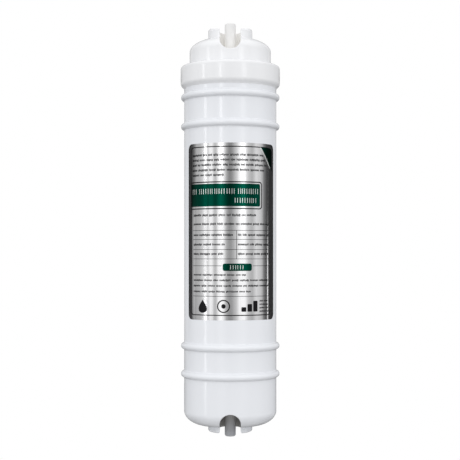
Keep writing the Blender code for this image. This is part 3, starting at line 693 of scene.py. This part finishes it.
def rule(left, right, height, width):
    """A straight rule across the label."""
    count = max(int((right - left) / COLUMN_WIDTH), 1) + 1
    return stroke(np.column_stack((np.linspace(left, right, count), np.full(count, height))), width)


def filled(edges):
    """A filled field of ink."""
    return ribbon(*edges, FILM_RADIUS, INK_RADIUS)


def words(left, right, height, tall, widths, gaps, lifts, lengths):
    """Upright blocks in groups as long as words, from left to right in degrees.

    The blocks' widths and gaps and the groups' lengths are ranges; lifts are half heights to choose from.
    """
    blocks = []
    x, right = across(left), across(right)
    while x < right - 2 * widths[1]:
        for _ in range(chance.integers(*lengths)):
            end = min(x + chance.uniform(*widths), right)
            low, high = height - tall * chance.choice(lifts), height + tall * chance.choice(lifts)
            blocks.append(field(x, end, low, high))
            x = end + chance.uniform(*gaps)
            if x > right - widths[0]:
                break
        x += 3 * gaps[1]
    return blocks


print("strokes, rules, fields and word blocks are ready")

# %% Rows of text and rules
SMALL_WORDS = ((0.00040, 0.00070), (0.00016, 0.00026), (0.5, 0.5, 0.5, 0.75), (4, 13))
TEXT_TALL = 0.0012
LOWER_TEXT_TALL = 0.00102
TEXT_ROWS = (
    (-52.5, 44.5, 0.0519), (-52.5, 50.0, 0.0484), (-52.5, 50.0, 0.0449), (-52.5, 46.5, 0.0413),
    (-52.5, -5.0, 0.0378), (-50.5, 33.5, 0.0096), (-50.5, 54.0, 0.0034), (-50.5, 3.0, -0.0043),
    (9.2, 54.5, -0.0043), (-50.5, -6.0, -0.0110), (9.2, 54.0, -0.0110), (-50.5, -8.0, -0.0176),
    (9.2, 54.0, -0.0176),
)
LOWER_TEXT_ROWS = (
    (-50.5, 22.5, -0.0323), (-50.5, 54.0, -0.0361), (-50.5, 54.0, -0.0400), (-50.5, 25.5, -0.0440),
)
RULE_WIDTH = 0.00032
RULE_LEFT, RULE_RIGHT = across(-51.5), across(55.0)
RULE_TOP, RULE_BOTTOM = -0.00105, -0.02105
SHORT_RULE_Z = -0.0259
DIVIDER = across(7.6)
chance = np.random.default_rng(7)
dark = []
for rows, tall in ((TEXT_ROWS, TEXT_TALL), (LOWER_TEXT_ROWS, LOWER_TEXT_TALL)):
    for row in rows:
        dark += [filled(block) for block in words(*row, tall, *SMALL_WORDS)]
for height in (RULE_TOP, -0.0074, -0.0145, RULE_BOTTOM, -0.0473):
    dark.append(rule(RULE_LEFT, RULE_RIGHT, height, RULE_WIDTH))
dark.append(rule(RULE_LEFT, across(-10.5), SHORT_RULE_Z, RULE_WIDTH))
dark.append(rule(across(28.5), RULE_RIGHT, SHORT_RULE_Z, RULE_WIDTH))
dark.append(stroke([(DIVIDER, height) for height in (RULE_TOP, -0.0110, RULE_BOTTOM)], RULE_WIDTH))
print(f"text and rules: {len(dark)} ribbons")

# %% Frame and panel outline
FRAME_ROUND = 0.0030
FRAME_WIDTH = 0.00070
PANEL_LEFT, PANEL_RIGHT = across(-55.1), across(38.8)
PANEL_LOW, PANEL_HIGH = 0.0158, 0.0317
OUTLINE_LOW, OUTLINE_HIGH = 0.0142, 0.0329
OUTLINE_ROUND = 0.0022
OUTLINE_WIDTH = 0.00080


def rounded_frame(left, right, low, high, corner):
    """Closed path of a rectangle with rounded corners, anticlockwise."""
    inner_left, inner_right = left + corner, right - corner
    inner_low, inner_high = low + corner, high - corner
    width_steps = int((right - left) / COLUMN_WIDTH)
    return np.vstack((
        straight((inner_left, low), (inner_right, low), width_steps),
        arc((inner_right, inner_low), corner, -90.0, 0.0, 8),
        straight((right, inner_low), (right, inner_high), 8)[1:],
        arc((inner_right, inner_high), corner, 0.0, 90.0, 8),
        straight((inner_right, high), (inner_left, high), width_steps)[1:],
        arc((inner_left, inner_high), corner, 90.0, 180.0, 8),
        straight((left, inner_high), (left, inner_low), 8)[1:],
        arc((inner_left, inner_low), corner, 180.0, 270.0, 8)[:-1],
    ))


frame_path = rounded_frame(across(-55.8), across(57.3), -0.0606, 0.0577, FRAME_ROUND)
dark.append(stroke(frame_path, FRAME_WIDTH, closed=True))
outline_x = across(41.3) - OUTLINE_ROUND
outline_path = np.vstack((
    straight((PANEL_LEFT, OUTLINE_LOW), (outline_x, OUTLINE_LOW), 60),
    arc((outline_x, OUTLINE_LOW + OUTLINE_ROUND), OUTLINE_ROUND, -90.0, 0.0, 8),
    arc((outline_x, OUTLINE_HIGH - OUTLINE_ROUND), OUTLINE_ROUND, 0.0, 90.0, 8),
    straight((outline_x, OUTLINE_HIGH), (PANEL_LEFT, OUTLINE_HIGH), 60)[1:],
    [(PANEL_LEFT, OUTLINE_HIGH)],
))
dark.append(stroke(outline_path, OUTLINE_WIDTH))
print(f"frame and panel: {len(dark)} ribbons so far")

# %% Marks in the bottom row
MARK_Z = -0.0543
DROP_X = across(-35.5)
DROP_TALL = 0.0094
RING_X = across(-8.1)
RING_RADIUS = 0.0042
RING_WIDTH = 0.00085
DOT_RADIUS = 0.0016
STEP_LEFT = across(13.4)
STEP_LOW = MARK_Z - 0.0038
STEP_PITCH = 0.0045
STEP_WIDTH = 0.0036
STEP_HEIGHTS = (0.0032, 0.0054, 0.0076)
STEP_ROUND = 0.0006
SHORT_ROW_TOP = MARK_Z + 0.0036
SHORT_ROW_PITCH = 0.0024
SHORT_ROW_TALL = 0.0009
NOT_QUITE = 0.999


def drop(centre, tall):
    """A water drop, its half width w = c sin(u) (1 - cos(u)) ^ 0.7 from the tip to the round end."""
    turn = np.linspace(0.0, np.pi, 25)
    half_width = 0.34 * tall * np.sin(turn) * (1 - np.cos(turn)) ** 0.7
    height = MARK_Z + 0.5 * tall * np.cos(turn)
    widest = np.argmax(half_width)
    x = np.linspace(-half_width[widest], half_width[widest], 25) * NOT_QUITE
    upper = np.interp(np.abs(x), half_width[:widest + 1], height[:widest + 1])
    lower = np.interp(np.abs(x), half_width[widest:][::-1], height[widest:][::-1])
    return np.column_stack((centre + x, lower)), np.column_stack((centre + x, upper))


dark.append(filled(drop(DROP_X, DROP_TALL)))
dark.append(stroke(arc((RING_X, MARK_Z), RING_RADIUS, 0.0, 360.0, 64)[:-1], RING_WIDTH, closed=True))
share = np.linspace(-1.0, 1.0, 17)
dot_x = RING_X + DOT_RADIUS * share
half_height = DOT_RADIUS * np.sqrt(1 - (share * NOT_QUITE) ** 2)
dot_edges = [np.column_stack((dot_x, MARK_Z + sign * half_height)) for sign in (-1, 1)]
dark.append(filled(dot_edges))
for number, tall in enumerate(STEP_HEIGHTS):
    left = STEP_LEFT + STEP_PITCH * number
    dark.append(filled(field(left, left + STEP_WIDTH, STEP_LOW, STEP_LOW + tall, (STEP_ROUND,) * 4)))
for row in range(4):
    height = SHORT_ROW_TOP - SHORT_ROW_PITCH * row
    dark += [filled(block) for block in words(38.0, 53.0, height, SHORT_ROW_TALL, *SMALL_WORDS)]
dark_print = rolled_piece("label_dark_print", dark)

# %% Green and light print
def raised(edges):
    """A field on top of other ink, rolled a little further out."""
    return ribbon(*edges, INK_RADIUS, RAISED_RADIUS)


WEDGE_HIGH = 0.0576
WEDGE_FALL = 0.0162
WEDGE_POWER = 1.05
WEDGE_ROUND = 0.0030
WEDGE_LEFT = across(40.5)
WEDGE_WIDTH = across(21.0)
FOLD_LEFT = across(38.7)
FOLD_WIDTH = 0.00085
PANEL_ROUND = 0.0012
BADGE_LEFT, BADGE_RIGHT = across(-9.1), across(26.9)
BADGE_LOW, BADGE_HIGH = -0.0295, -0.0243
BADGE_ROUND = 0.0014


def falling(left, share):
    """Points at shares of the wedge's width on its lower edge, which falls as a power of the share."""
    return np.column_stack((left + share * WEDGE_WIDTH, WEDGE_HIGH - WEDGE_FALL * share ** WEDGE_POWER))


wedge_low = falling(WEDGE_LEFT, np.linspace(0.0, 1.0, 40))
wedge_x = wedge_low[:, 0]
wedge_high = np.column_stack((wedge_x, WEDGE_HIGH - lift(WEDGE_ROUND, WEDGE_LEFT + WEDGE_WIDTH - wedge_x)))
green = [
    filled(field(PANEL_LEFT, PANEL_RIGHT, PANEL_LOW, PANEL_HIGH, (0.0, PANEL_ROUND, PANEL_ROUND, 0.0))),
    filled(field(BADGE_LEFT, BADGE_RIGHT, BADGE_LOW, BADGE_HIGH, (BADGE_ROUND,) * 4)),
    raised((wedge_low, wedge_high)),
]
green_print = rolled_piece("label_green_print", green)
TITLE_WORDS = ((0.00034, 0.00044), (0.00095, 0.00165), (0.5, 0.5), (98, 99))
TITLE_ROWS = (
    (-52.0, -43.5, 0.02635, 0.0037), (-40.5, 6.5, 0.02635, 0.0037), (9.5, 36.0, 0.02635, 0.0037),
    (5.5, 36.0, 0.01995, 0.0034), (0.0, 18.5, -0.0269, 0.0029),
)
light = []
for row in TITLE_ROWS:
    light += [raised(block) for block in words(*row, *TITLE_WORDS)]
light.append(stroke(falling(FOLD_LEFT, np.linspace(0.0, 0.9, 25)), FOLD_WIDTH))
light_print = rolled_piece("label_light_print", light)

# %% [markdown]
# ## Finishes
#
# Moulded plastic is never one even colour or gloss: there is a faint mottling, and the surface has a slow
# ripple that makes highlights waver. Both come from noise in Object coordinates. Several materials
# use them, so they are one node group with its own inputs, placed in each material with other values.

# %% Nodes from sockets and values
def new_group(name, inputs, outputs):
    """A shader node group with named inputs (socket type, value) and outputs (socket type)."""
    group = bpy.data.node_groups.new(name, "ShaderNodeTree")
    for label, (kind, value) in inputs.items():
        made = group.interface.new_socket(name=label, in_out="INPUT", socket_type=kind)
        made.default_value = value
    for label, kind in outputs.items():
        group.interface.new_socket(name=label, in_out="OUTPUT", socket_type=kind)
    return group, group.nodes.new("NodeGroupInput"), group.nodes.new("NodeGroupOutput")


def feed(tree, value, socket):
    """Give a socket its value: a link if the value is a socket itself, else a constant."""
    if isinstance(value, bpy.types.NodeSocket):
        tree.links.new(value, socket)
    else:
        socket.default_value = value


def noise(tree, vector, scale, detail):
    """A noise texture read at vector times scale."""
    made = tree.nodes.new("ShaderNodeTexNoise")
    for label, value in (("Vector", vector), ("Scale", scale), ("Detail", detail)):
        feed(tree, value, made.inputs[label])
    return made.outputs["Fac"]


def between(tree, factor, low, high, kind="FLOAT"):
    """Mix low and high by factor; each end is a socket or a value."""
    made = tree.nodes.new("ShaderNodeMix")
    made.data_type = kind
    low_plug, high_plug, out_plug = {"FLOAT": (2, 3, 0), "RGBA": (6, 7, 2)}[kind]
    for plug, value in ((0, factor), (low_plug, low), (high_plug, high)):
        feed(tree, value, made.inputs[plug])
    return made.outputs[out_plug]


def calculated(tree, operation, *values):
    """A sum, product or other function of one or two values, each a socket or a number."""
    made = tree.nodes.new("ShaderNodeMath")
    made.operation = operation
    for socket, value in zip(made.inputs, values):
        feed(tree, value, socket)
    return made.outputs[0]


def rise(tree, value, start, end, kind="LINEAR"):
    """0 at start and 1 at end, level beyond them."""
    made = tree.nodes.new("ShaderNodeMapRange")
    made.interpolation_type = kind
    for label, given_value in (("Value", value), ("From Min", start), ("From Max", end)):
        feed(tree, given_value, made.inputs[label])
    return made.outputs["Result"]


BLACK, WHITE = (0.0, 0.0, 0.0, 1.0), (1.0, 1.0, 1.0, 1.0)
COLOUR, NUMBER, VECTOR = "NodeSocketColor", "NodeSocketFloat", "NodeSocketVector"
print("nodes can be made from sockets and values alike")

# %% Moulded surface, a node group
moulded, given, result = new_group(
    "moulded_surface",
    {
        "Position": (VECTOR, (0.0, 0.0, 0.0)),
        "Body Colour": (COLOUR, (0.8, 0.8, 0.8, 1.0)),
        "Mottle Colour": (COLOUR, (0.78, 0.78, 0.78, 1.0)),
        "Mottle Scale": (NUMBER, 60.0),
        "Smooth Roughness": (NUMBER, 0.15),
        "Dull Roughness": (NUMBER, 0.22),
        "Ripple Scale": (NUMBER, 120.0),
    },
    {"Colour": COLOUR, "Roughness": NUMBER, "Height": NUMBER},
)
mottle = noise(moulded, given.outputs["Position"], given.outputs["Mottle Scale"], 3.0)
ripple = noise(moulded, given.outputs["Position"], given.outputs["Ripple Scale"], 2.0)
shade_of = between(moulded, mottle, given.outputs["Body Colour"], given.outputs["Mottle Colour"], "RGBA")
gloss_of = between(moulded, ripple, given.outputs["Smooth Roughness"], given.outputs["Dull Roughness"])
moulded.links.new(shade_of, result.inputs["Colour"])
moulded.links.new(gloss_of, result.inputs["Roughness"])
moulded.links.new(ripple, result.inputs["Height"])
print("node group:", moulded.name)

# %% Materials from a group
def new_material(name):
    """A material with its shader, and its tree to build in."""
    made = bpy.data.materials.new(name)
    made.use_nodes = True
    return made, made.node_tree, made.node_tree.nodes["Principled BSDF"]


def bump(tree, shader, height, distance):
    """Feed a height to the shader's normal."""
    made = tree.nodes.new("ShaderNodeBump")
    made.inputs["Strength"].default_value = 1.0
    made.inputs["Distance"].default_value = distance
    tree.links.new(height, made.inputs["Height"])
    tree.links.new(made.outputs["Normal"], shader.inputs["Normal"])


def placed(tree, group, values):
    """A node group placed in a material, with its inputs given by name."""
    made = tree.nodes.new("ShaderNodeGroup")
    made.node_tree = group
    for label, value in values.items():
        feed(tree, value, made.inputs[label])
    return made.outputs


def dress(tree, shader, skin, depth):
    """Link a surface group's colour, roughness and height to the shader."""
    tree.links.new(skin["Colour"], shader.inputs["Base Color"])
    tree.links.new(skin["Roughness"], shader.inputs["Roughness"])
    bump(tree, shader, skin["Height"], depth)


print("a material needs its group, its values and a depth")

# %% Plastics and rubber
def moulded_material(name, body, mottled, roughness, scales, ripple_depth):
    """Plastic or rubber from the moulded surface group."""
    made, tree, shader = new_material(name)
    dress(tree, shader, placed(tree, moulded, {
        "Position": tree.nodes.new("ShaderNodeTexCoord").outputs["Object"],
        "Body Colour": (*body, 1.0),
        "Mottle Colour": (*mottled, 1.0),
        "Mottle Scale": scales[0],
        "Ripple Scale": scales[1],
        "Smooth Roughness": roughness[0],
        "Dull Roughness": roughness[1],
    }), ripple_depth)
    return made


barrel_white = moulded_material(
    "barrel_white_plastic", (0.781, 0.797, 0.831), (0.767, 0.783, 0.819), (0.10, 0.15), (45.0, 70.0), 0.00004
)
# painted light: the cap's white is lighter and less blue than the barrel's, for the stronger light from above
# at the top end
cap_white_with_painted_light = moulded_material(
    "cap_white_plastic", (0.815, 0.821, 0.838), (0.802, 0.808, 0.826), (0.10, 0.15), (45.0, 70.0), 0.00004
)
satin_white = moulded_material(
    "satin_white_plastic", (0.75, 0.75, 0.748), (0.73, 0.73, 0.728), (0.28, 0.38), (80.0, 900.0), 0.00001
)
grey_plastic = moulded_material(
    "grey_plastic", (0.415, 0.426, 0.450), (0.388, 0.398, 0.421), (0.26, 0.36), (90.0, 900.0), 0.00001
)
tube_plastic = moulded_material(
    "core_tube_plastic", (0.78, 0.78, 0.74), (0.74, 0.74, 0.70), (0.35, 0.45), (80.0, 300.0), 0.00002
)
fitting_plastic = moulded_material(
    "fitting_plastic", (0.60, 0.61, 0.62), (0.56, 0.57, 0.58), (0.35, 0.45), (80.0, 300.0), 0.00002
)
black_rubber = moulded_material(
    "black_rubber", (0.020, 0.020, 0.021), (0.032, 0.031, 0.030), (0.50, 0.68), (300.0, 1500.0), 0.00002
)
print("plastics:", barrel_white.name, cap_white_with_painted_light.name, satin_white.name, grey_plastic.name)

# %% [markdown]
# ## The cups round the stems
#
# Stem and cup are one moulding. The cup, and the stem's part deep in the well, are given a lighter colour
# than the
# stem, and the white cup also a glow: painted light that brightens the recess. A second node group tells them
# apart
# by place alone: its share grows from 0 on the stem to 1 on the cup, with the distance from the axis or,
# behind the stem, with the depth below the tip.

# %% Where the cups get painted light, a node group
CUP_WALL = 0.0020
CUP_MOUTH_Z = 0.1475
CUP_DEPTH_Z = 0.1350
# painted light goes where this share is 1: on the cup, and deep in the well
cup_light_share, given, result = new_group(
    "cup_light_share",
    {"Position": (VECTOR, (0.0, 0.0, 0.0)), "Stem Radius": (NUMBER, STEM_RADIUS)},
    {"Share": NUMBER},
)


def length_along(mask):
    """Length of the position along the axes whose mask is one."""
    kept = cup_light_share.nodes.new("ShaderNodeVectorMath")
    kept.operation = "MULTIPLY"
    kept.inputs[1].default_value = mask
    cup_light_share.links.new(given.outputs["Position"], kept.inputs[0])
    length = cup_light_share.nodes.new("ShaderNodeVectorMath")
    length.operation = "LENGTH"
    cup_light_share.links.new(kept.outputs["Vector"], length.inputs[0])
    return length.outputs["Value"]


outward = rise(cup_light_share, length_along((1.0, 1.0, 0.0)), given.outputs["Stem Radius"], CUP_RADIUS - CUP_WALL)
deep = rise(cup_light_share, length_along((0.0, 0.0, 1.0)), CUP_MOUTH_Z, CUP_DEPTH_Z)
cup_light_share.links.new(calculated(cup_light_share, "MAXIMUM", outward, deep), result.inputs["Share"])
print("node group:", cup_light_share.name)

# %% Finishes of the mouldings
def paint_cup_light(made, cup_colour_with_painted_light, painted_glow):
    """Paint light into the cup round the stem: a lighter colour and a glow, which brighten the recess."""
    tree = made.node_tree
    shader = tree.nodes["Principled BSDF"]
    body = shader.inputs["Base Color"].links[0].from_socket
    place = tree.nodes.new("ShaderNodeTexCoord").outputs["Object"]
    share = placed(tree, cup_light_share, {"Position": place})["Share"]
    # mix in the lighter colour and the glow: painted light in the recess
    for socket, outside, inside in (("Base Color", body, cup_colour_with_painted_light), ("Emission Color", BLACK, painted_glow)):
        tree.links.new(between(tree, share, outside, (*inside, 1.0), "RGBA"), shader.inputs[socket])
    shader.inputs["Emission Strength"].default_value = 1.0


# painted light: the white cup is lighter than the stem and glows
paint_cup_light(satin_white, (0.88, 0.872, 0.856), (0.070, 0.068, 0.064))
# painted light: the grey cup is lighter and warmer than the stem
paint_cup_light(grey_plastic, (0.45, 0.442, 0.425), (0.0, 0.0, 0.0))
grey_plastic.node_tree.nodes["Principled BSDF"].inputs["Specular IOR Level"].default_value = 0.3
for piece, finish in ((barrel, barrel_white), (cap, cap_white_with_painted_light), (inlet, satin_white), (outlet, grey_plastic)):
    piece.data.materials.clear()
    piece.data.materials.append(finish)
    print(piece.name, "gets", finish.name)

# %% [markdown]
# ## Film and inks
#
# The film is bare metal, so it shows the studio in narrow upright bands, because a round barrel squeezes
# the whole room into its width. Fine upright streaks in its surface break these bands up. Green ink is
# clear enough to keep the metal's shine, so it is the same streaked metal with a green colour, and
# dark ink hides it. The streaks follow the sheet, so they read its UV map, which holds flat metres.

# %% Streaked film, a node group
streaked, given, result = new_group(
    "streaked_film",
    {
        "Flat Place": (VECTOR, (0.0, 0.0, 0.0)),
        "Body Colour": (COLOUR, (0.8, 0.8, 0.8, 1.0)),
        "Streak Colour": (COLOUR, (0.7, 0.7, 0.7, 1.0)),
        "Smooth Roughness": (NUMBER, 0.10),
        "Dull Roughness": (NUMBER, 0.20),
    },
    {"Colour": COLOUR, "Roughness": NUMBER, "Height": NUMBER},
)
stretch = streaked.nodes.new("ShaderNodeMapping")
stretch.inputs["Scale"].default_value = (1.0, 0.012, 1.0)
streaked.links.new(given.outputs["Flat Place"], stretch.inputs["Vector"])
fine = noise(streaked, stretch.outputs["Vector"], 1500.0, 3.0)
broad = noise(streaked, stretch.outputs["Vector"], 260.0, 2.0)
shade_of = between(streaked, fine, given.outputs["Body Colour"], given.outputs["Streak Colour"], "RGBA")
gloss_of = between(streaked, fine, given.outputs["Smooth Roughness"], given.outputs["Dull Roughness"])
streaked.links.new(shade_of, result.inputs["Colour"])
streaked.links.new(gloss_of, result.inputs["Roughness"])
streaked.links.new(broad, result.inputs["Height"])
print("node group:", streaked.name)

# %% Film and inks
def film_material(name, body, streak, roughness, metallic, depth):
    """Metallised film or ink on it, from the streaked film group."""
    made, tree, shader = new_material(name)
    place = tree.nodes.new("ShaderNodeUVMap")
    place.uv_map = "flat"
    dress(tree, shader, placed(tree, streaked, {
        "Flat Place": place.outputs["UV"],
        "Body Colour": (*body, 1.0),
        "Streak Colour": (*streak, 1.0),
        "Smooth Roughness": roughness[0],
        "Dull Roughness": roughness[1],
    }), depth)
    shader.inputs["Metallic"].default_value = metallic
    return made


silver_film = film_material(
    "silver_film", (0.88, 0.88, 0.89), (0.80, 0.80, 0.81), (0.07, 0.13), 1.0, 0.000010
)
green_ink = film_material(
    "green_ink", (0.0006, 0.076, 0.047), (0.0004, 0.052, 0.032), (0.08, 0.15), 1.0, 0.000010
)
dark_ink = film_material(
    "dark_ink", (0.004, 0.004, 0.005), (0.009, 0.009, 0.010), (0.25, 0.35), 0.0, 0.000004
)
dark_ink.node_tree.nodes["Principled BSDF"].inputs["Specular IOR Level"].default_value = 0.12
light_ink = film_material(
    "light_ink", (0.90, 0.92, 0.91), (0.82, 0.85, 0.83), (0.16, 0.24), 0.6, 0.000008
)
film.data.materials.append(silver_film)
dark_print.data.materials.append(dark_ink)
green_print.data.materials.append(green_ink)
light_print.data.materials.append(light_ink)
print("film and inks:", silver_film.name, green_ink.name, dark_ink.name, light_ink.name)

# %% [markdown]
# ## Inside the housing
#
# The rings, tube, roll and end caps can't be seen from outside, so the CAD solids stay as they are and only
# get their finishes. The roll is membrane and net: a fine diamond pattern from two crossed waves.

# %% Finishes of the hidden pieces
def crossed_waves(name, body, line, scale, roughness):
    """A net: two sets of bands in Object coordinates, leaning opposite ways."""
    made, tree, shader = new_material(name)
    place = tree.nodes.new("ShaderNodeTexCoord").outputs["Object"]
    waves = []
    for lean in (0.7, -0.7):
        turn = tree.nodes.new("ShaderNodeMapping")
        turn.inputs["Rotation"].default_value = (0.0, lean, lean)
        tree.links.new(place, turn.inputs["Vector"])
        wave = tree.nodes.new("ShaderNodeTexWave")
        wave.inputs["Scale"].default_value = scale
        tree.links.new(turn.outputs["Vector"], wave.inputs["Vector"])
        waves.append(wave.outputs["Fac"])
    crossed = calculated(tree, "MAXIMUM", *waves)
    colour = between(tree, crossed, (*body, 1.0), (*line, 1.0), "RGBA")
    tree.links.new(colour, shader.inputs["Base Color"])
    tree.links.new(between(tree, crossed, *roughness), shader.inputs["Roughness"])
    bump(tree, shader, crossed, 0.0001)
    return made


membrane = crossed_waves("membrane_sheet", (0.74, 0.72, 0.63), (0.60, 0.58, 0.50), 120.0, (0.60, 0.45))
tape = crossed_waves("wrap_tape", (0.045, 0.150, 0.430), (0.060, 0.180, 0.480), 40.0, (0.25, 0.35))
hidden_finishes = {
    "inlet_o_ring": black_rubber,
    "outlet_o_ring": black_rubber,
    "lower_tube_o_ring": black_rubber,
    "upper_tube_o_ring": black_rubber,
    "brine_seal": black_rubber,
    "permeate_tube": tube_plastic,
    "tube_plug": fitting_plastic,
    "drain_end_cap": fitting_plastic,
    "feed_end_cap": fitting_plastic,
    "membrane_roll": membrane,
    "roll_wrap": tape,
}
for node, finish in hidden_finishes.items():
    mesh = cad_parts[node].data
    mesh.materials.clear()
    mesh.materials.append(finish)
print(f"{len(hidden_finishes)} hidden nodes have their finishes")

# %% [markdown]
# ## The studio
#
# The photograph was taken in a white tent: the background is pure white, there is no shadow, and the
# plastic is lit from all sides, a little more from above. What shapes the metal is what stands round the
# camera: bright cards with gaps between them, and dark gaps where the tent's side walls end. Three strip
# lights are so bright that they also show on the plastic: all three above the label's height, and mainly
# one below it. Three fainter ones show in the film alone. The world's colour is therefore a function of
# direction: shiny surfaces see cards and strips, dull ones a soft gradient, and the camera sees white.
# A card edge is an azimuth in degrees from the camera, to the right, and a brightness, and the card
# shares say how much of that is left at some upward slopes. A strip is the azimuth of its middle, half
# its width, its softness, and its brightness at some upward slopes.

# %% Cards and strip lights
CARDS = (
    (-134, 0.41), (-129, 0.02), (-108, 0.06), (-101, 0.17), (-97, 0.29), (-92, 0.48), (-81, 0.53),
    (-72, 0.72), (-66, 1.05), (-61, 1.00), (-57, 0.70), (-52, 1.06), (-46, 1.06), (-40, 0.60),
    (-35.5, 0.58), (-29, 1.11), (-17, 1.11), (-9, 0.44), (-2, 0.24), (4, 0.29), (17, 0.76), (22, 1.11),
    (37, 1.11), (45, 0.64), (56, 0.49), (67, 0.80), (81, 0.64), (86, 0.50), (91, 0.22), (102, 0.06),
    (133, 0.02), (138, 0.39),
)
STRIPS = (
    (-64.0, 2.6, 1.5, (
        (-0.160, 0.7), (-0.131, 1.2), (-0.116, 2.1), (-0.088, 4.6), (-0.061, 5.6), (-0.056, 0.0),
        (0.095, 0.0), (0.100, 5.0), (0.110, 5.4), (0.130, 3.6), (0.150, 4.2), (0.180, 3.4), (0.188, 0.0),
    )),
    (-22.7, 3.2, 1.5, (
        (-0.100, 0.0), (-0.088, 0.2), (-0.061, 1.0), (-0.056, 0.0), (0.039, 0.0), (0.043, 0.6), (0.060, 0.6),
        (0.064, 0.0), (0.095, 0.0), (0.100, 3.8), (0.148, 4.2), (0.160, 2.6), (0.180, 2.1), (0.188, 0.0),
    )),
    (31.7, 5.2, 2.5, (
        (-0.130, 0.1), (-0.061, 0.3), (-0.056, 0.0), (0.039, 0.0), (0.043, 1.3), (0.060, 1.3), (0.064, 0.0),
        (0.095, 0.0), (0.100, 1.2), (0.148, 1.3), (0.157, 2.4), (0.180, 2.3), (0.188, 0.0),
    )),
    (1.0, 8.0, 7.0, ((-0.057, 0.0), (-0.055, 0.12), (0.015, 0.11), (0.035, 0.0))),
    (-102.5, 5.5, 2.5, ((-0.057, 0.0), (-0.055, 0.31), (0.040, 0.31), (0.055, 0.0))),
    (106.3, 1.7, 1.0, ((-0.057, 0.0), (-0.055, 1.4), (0.000, 1.0), (0.030, 0.0))),
)
CARD_SHARES = (
    (-0.180, 0.6), (-0.165, 0.25), (-0.110, 0.25), (-0.062, 0.85), (-0.056, 1.0), (0.139, 1.0),
    (0.144, 0.1), (0.152, 0.1), (0.157, 1.0),
)
SLOPE_SPAN = 0.4
OVERHEAD = (0.55, 0.90)
CEILING = 0.9
DULL_LIGHT = 1.55
print(f"world: {len(CARDS)} card edges and {len(STRIPS)} strips round the object")

# %% The world's tree and its parts
world = bpy.data.worlds.new("white_tent")
bpy.context.scene.world = world
world.use_nodes = True
tent = world.node_tree
tent.nodes.clear()


def math_node(operation, *values):
    """One sum in the world's tree."""
    return calculated(tent, operation, *values)


def ramp(factor, stops):
    """A colour ramp of greys from (place, value) stops."""
    made = tent.nodes.new("ShaderNodeValToRGB")
    elements = made.color_ramp.elements
    while len(elements) < len(stops):
        elements.new(0.5)
    for element, (place, value) in zip(elements, stops):
        element.position = place
        element.color = (value, value, value, 1.0)
    tent.links.new(factor, made.inputs["Fac"])
    return made.outputs["Color"]


def slope_ramp(stops):
    """A ramp over the direction's upward slope, from (slope, value) stops."""
    return ramp(slope_share, [(slope / SLOPE_SPAN + 0.5, value) for slope, value in stops])


direction = tent.nodes.new("ShaderNodeSeparateXYZ")
tent.links.new(tent.nodes.new("ShaderNodeTexCoord").outputs["Generated"], direction.inputs[0])
x, y, z = direction.outputs
azimuth = math_node("DEGREES", math_node("ARCTAN2", x, math_node("MULTIPLY", y, -1.0)))
turned_share = math_node("ADD", math_node("DIVIDE", azimuth, 360.0), 0.5)
slope_share = math_node("ADD", math_node("DIVIDE", z, SLOPE_SPAN), 0.5)
print("world:", world.name)

# %% What shiny surfaces see
cards = ramp(turned_share, [((angle + 180) / 360, value) for angle, value in CARDS])
shiny = math_node("MULTIPLY", cards, slope_ramp(CARD_SHARES))
for middle, half_width, softness, heights in STRIPS:
    off_middle = math_node("ABSOLUTE", math_node("SUBTRACT", azimuth, middle))
    inside = rise(tent, off_middle, half_width + softness, half_width - softness, "SMOOTHSTEP")
    shiny = math_node("ADD", shiny, math_node("MULTIPLY", inside, slope_ramp(heights)))
overhead = rise(tent, math_node("ABSOLUTE", z), *OVERHEAD, "SMOOTHSTEP")
around = math_node("MULTIPLY", shiny, math_node("SUBTRACT", 1.0, overhead))
shiny = math_node("ADD", around, math_node("MULTIPLY", overhead, CEILING))
print(f"shiny light: ceiling {CEILING}")

# %% What dull surfaces see, and the camera
height_share = math_node("ADD", math_node("MULTIPLY", z, 0.5), 0.5)
above = ramp(height_share, ((0.0, 0.20), (0.35, 0.45), (0.5, 0.94), (0.72, 0.97), (1.0, 0.68)))
front_share = math_node("ADD", math_node("MULTIPLY", y, -0.5), 0.5)
front = ramp(front_share, ((0.0, 0.62), (0.5, 0.88), (1.0, 1.0)))
soft = math_node("MULTIPLY", above, front)
rays = tent.nodes.new("ShaderNodeLightPath")


def background(colour, strength):
    """One background shader."""
    made = tent.nodes.new("ShaderNodeBackground")
    feed(tent, colour, made.inputs["Color"])
    made.inputs["Strength"].default_value = strength
    return made.outputs[0]


def choose(factor, otherwise, chosen):
    """The chosen shader where the factor is one."""
    made = tent.nodes.new("ShaderNodeMixShader")
    tent.links.new(factor, made.inputs[0])
    tent.links.new(otherwise, made.inputs[1])
    tent.links.new(chosen, made.inputs[2])
    return made.outputs[0]


seen = choose(rays.outputs["Is Glossy Ray"], background(soft, DULL_LIGHT), background(shiny, 1.0))
seen = choose(rays.outputs["Is Camera Ray"], seen, background(WHITE, 1.0))
tent.links.new(seen, tent.nodes.new("ShaderNodeOutputWorld").inputs["Surface"])
print(f"dull light: {DULL_LIGHT}, and white for the camera")

# %% Floor
FLOOR_HALF = 3.0
FLOOR_Z = -0.1502
corners = np.array(((-1, -1), (1, -1), (1, 1), (-1, 1))) * FLOOR_HALF
floor = add_piece("floor", np.column_stack((corners, np.full(4, FLOOR_Z))), [(0, 1, 2, 3)])
pale, _, shader = new_material("white_floor")
shader.inputs["Base Color"].default_value = BLACK
shader.inputs["Specular IOR Level"].default_value = 0.0
shader.inputs["Emission Color"].default_value = WHITE
shader.inputs["Emission Strength"].default_value = 1.0
floor.data.materials.append(pale)
floor.visible_diffuse = False
floor.visible_glossy = False
floor.visible_shadow = False
print("floor: plain white, under the lower stem's tip")
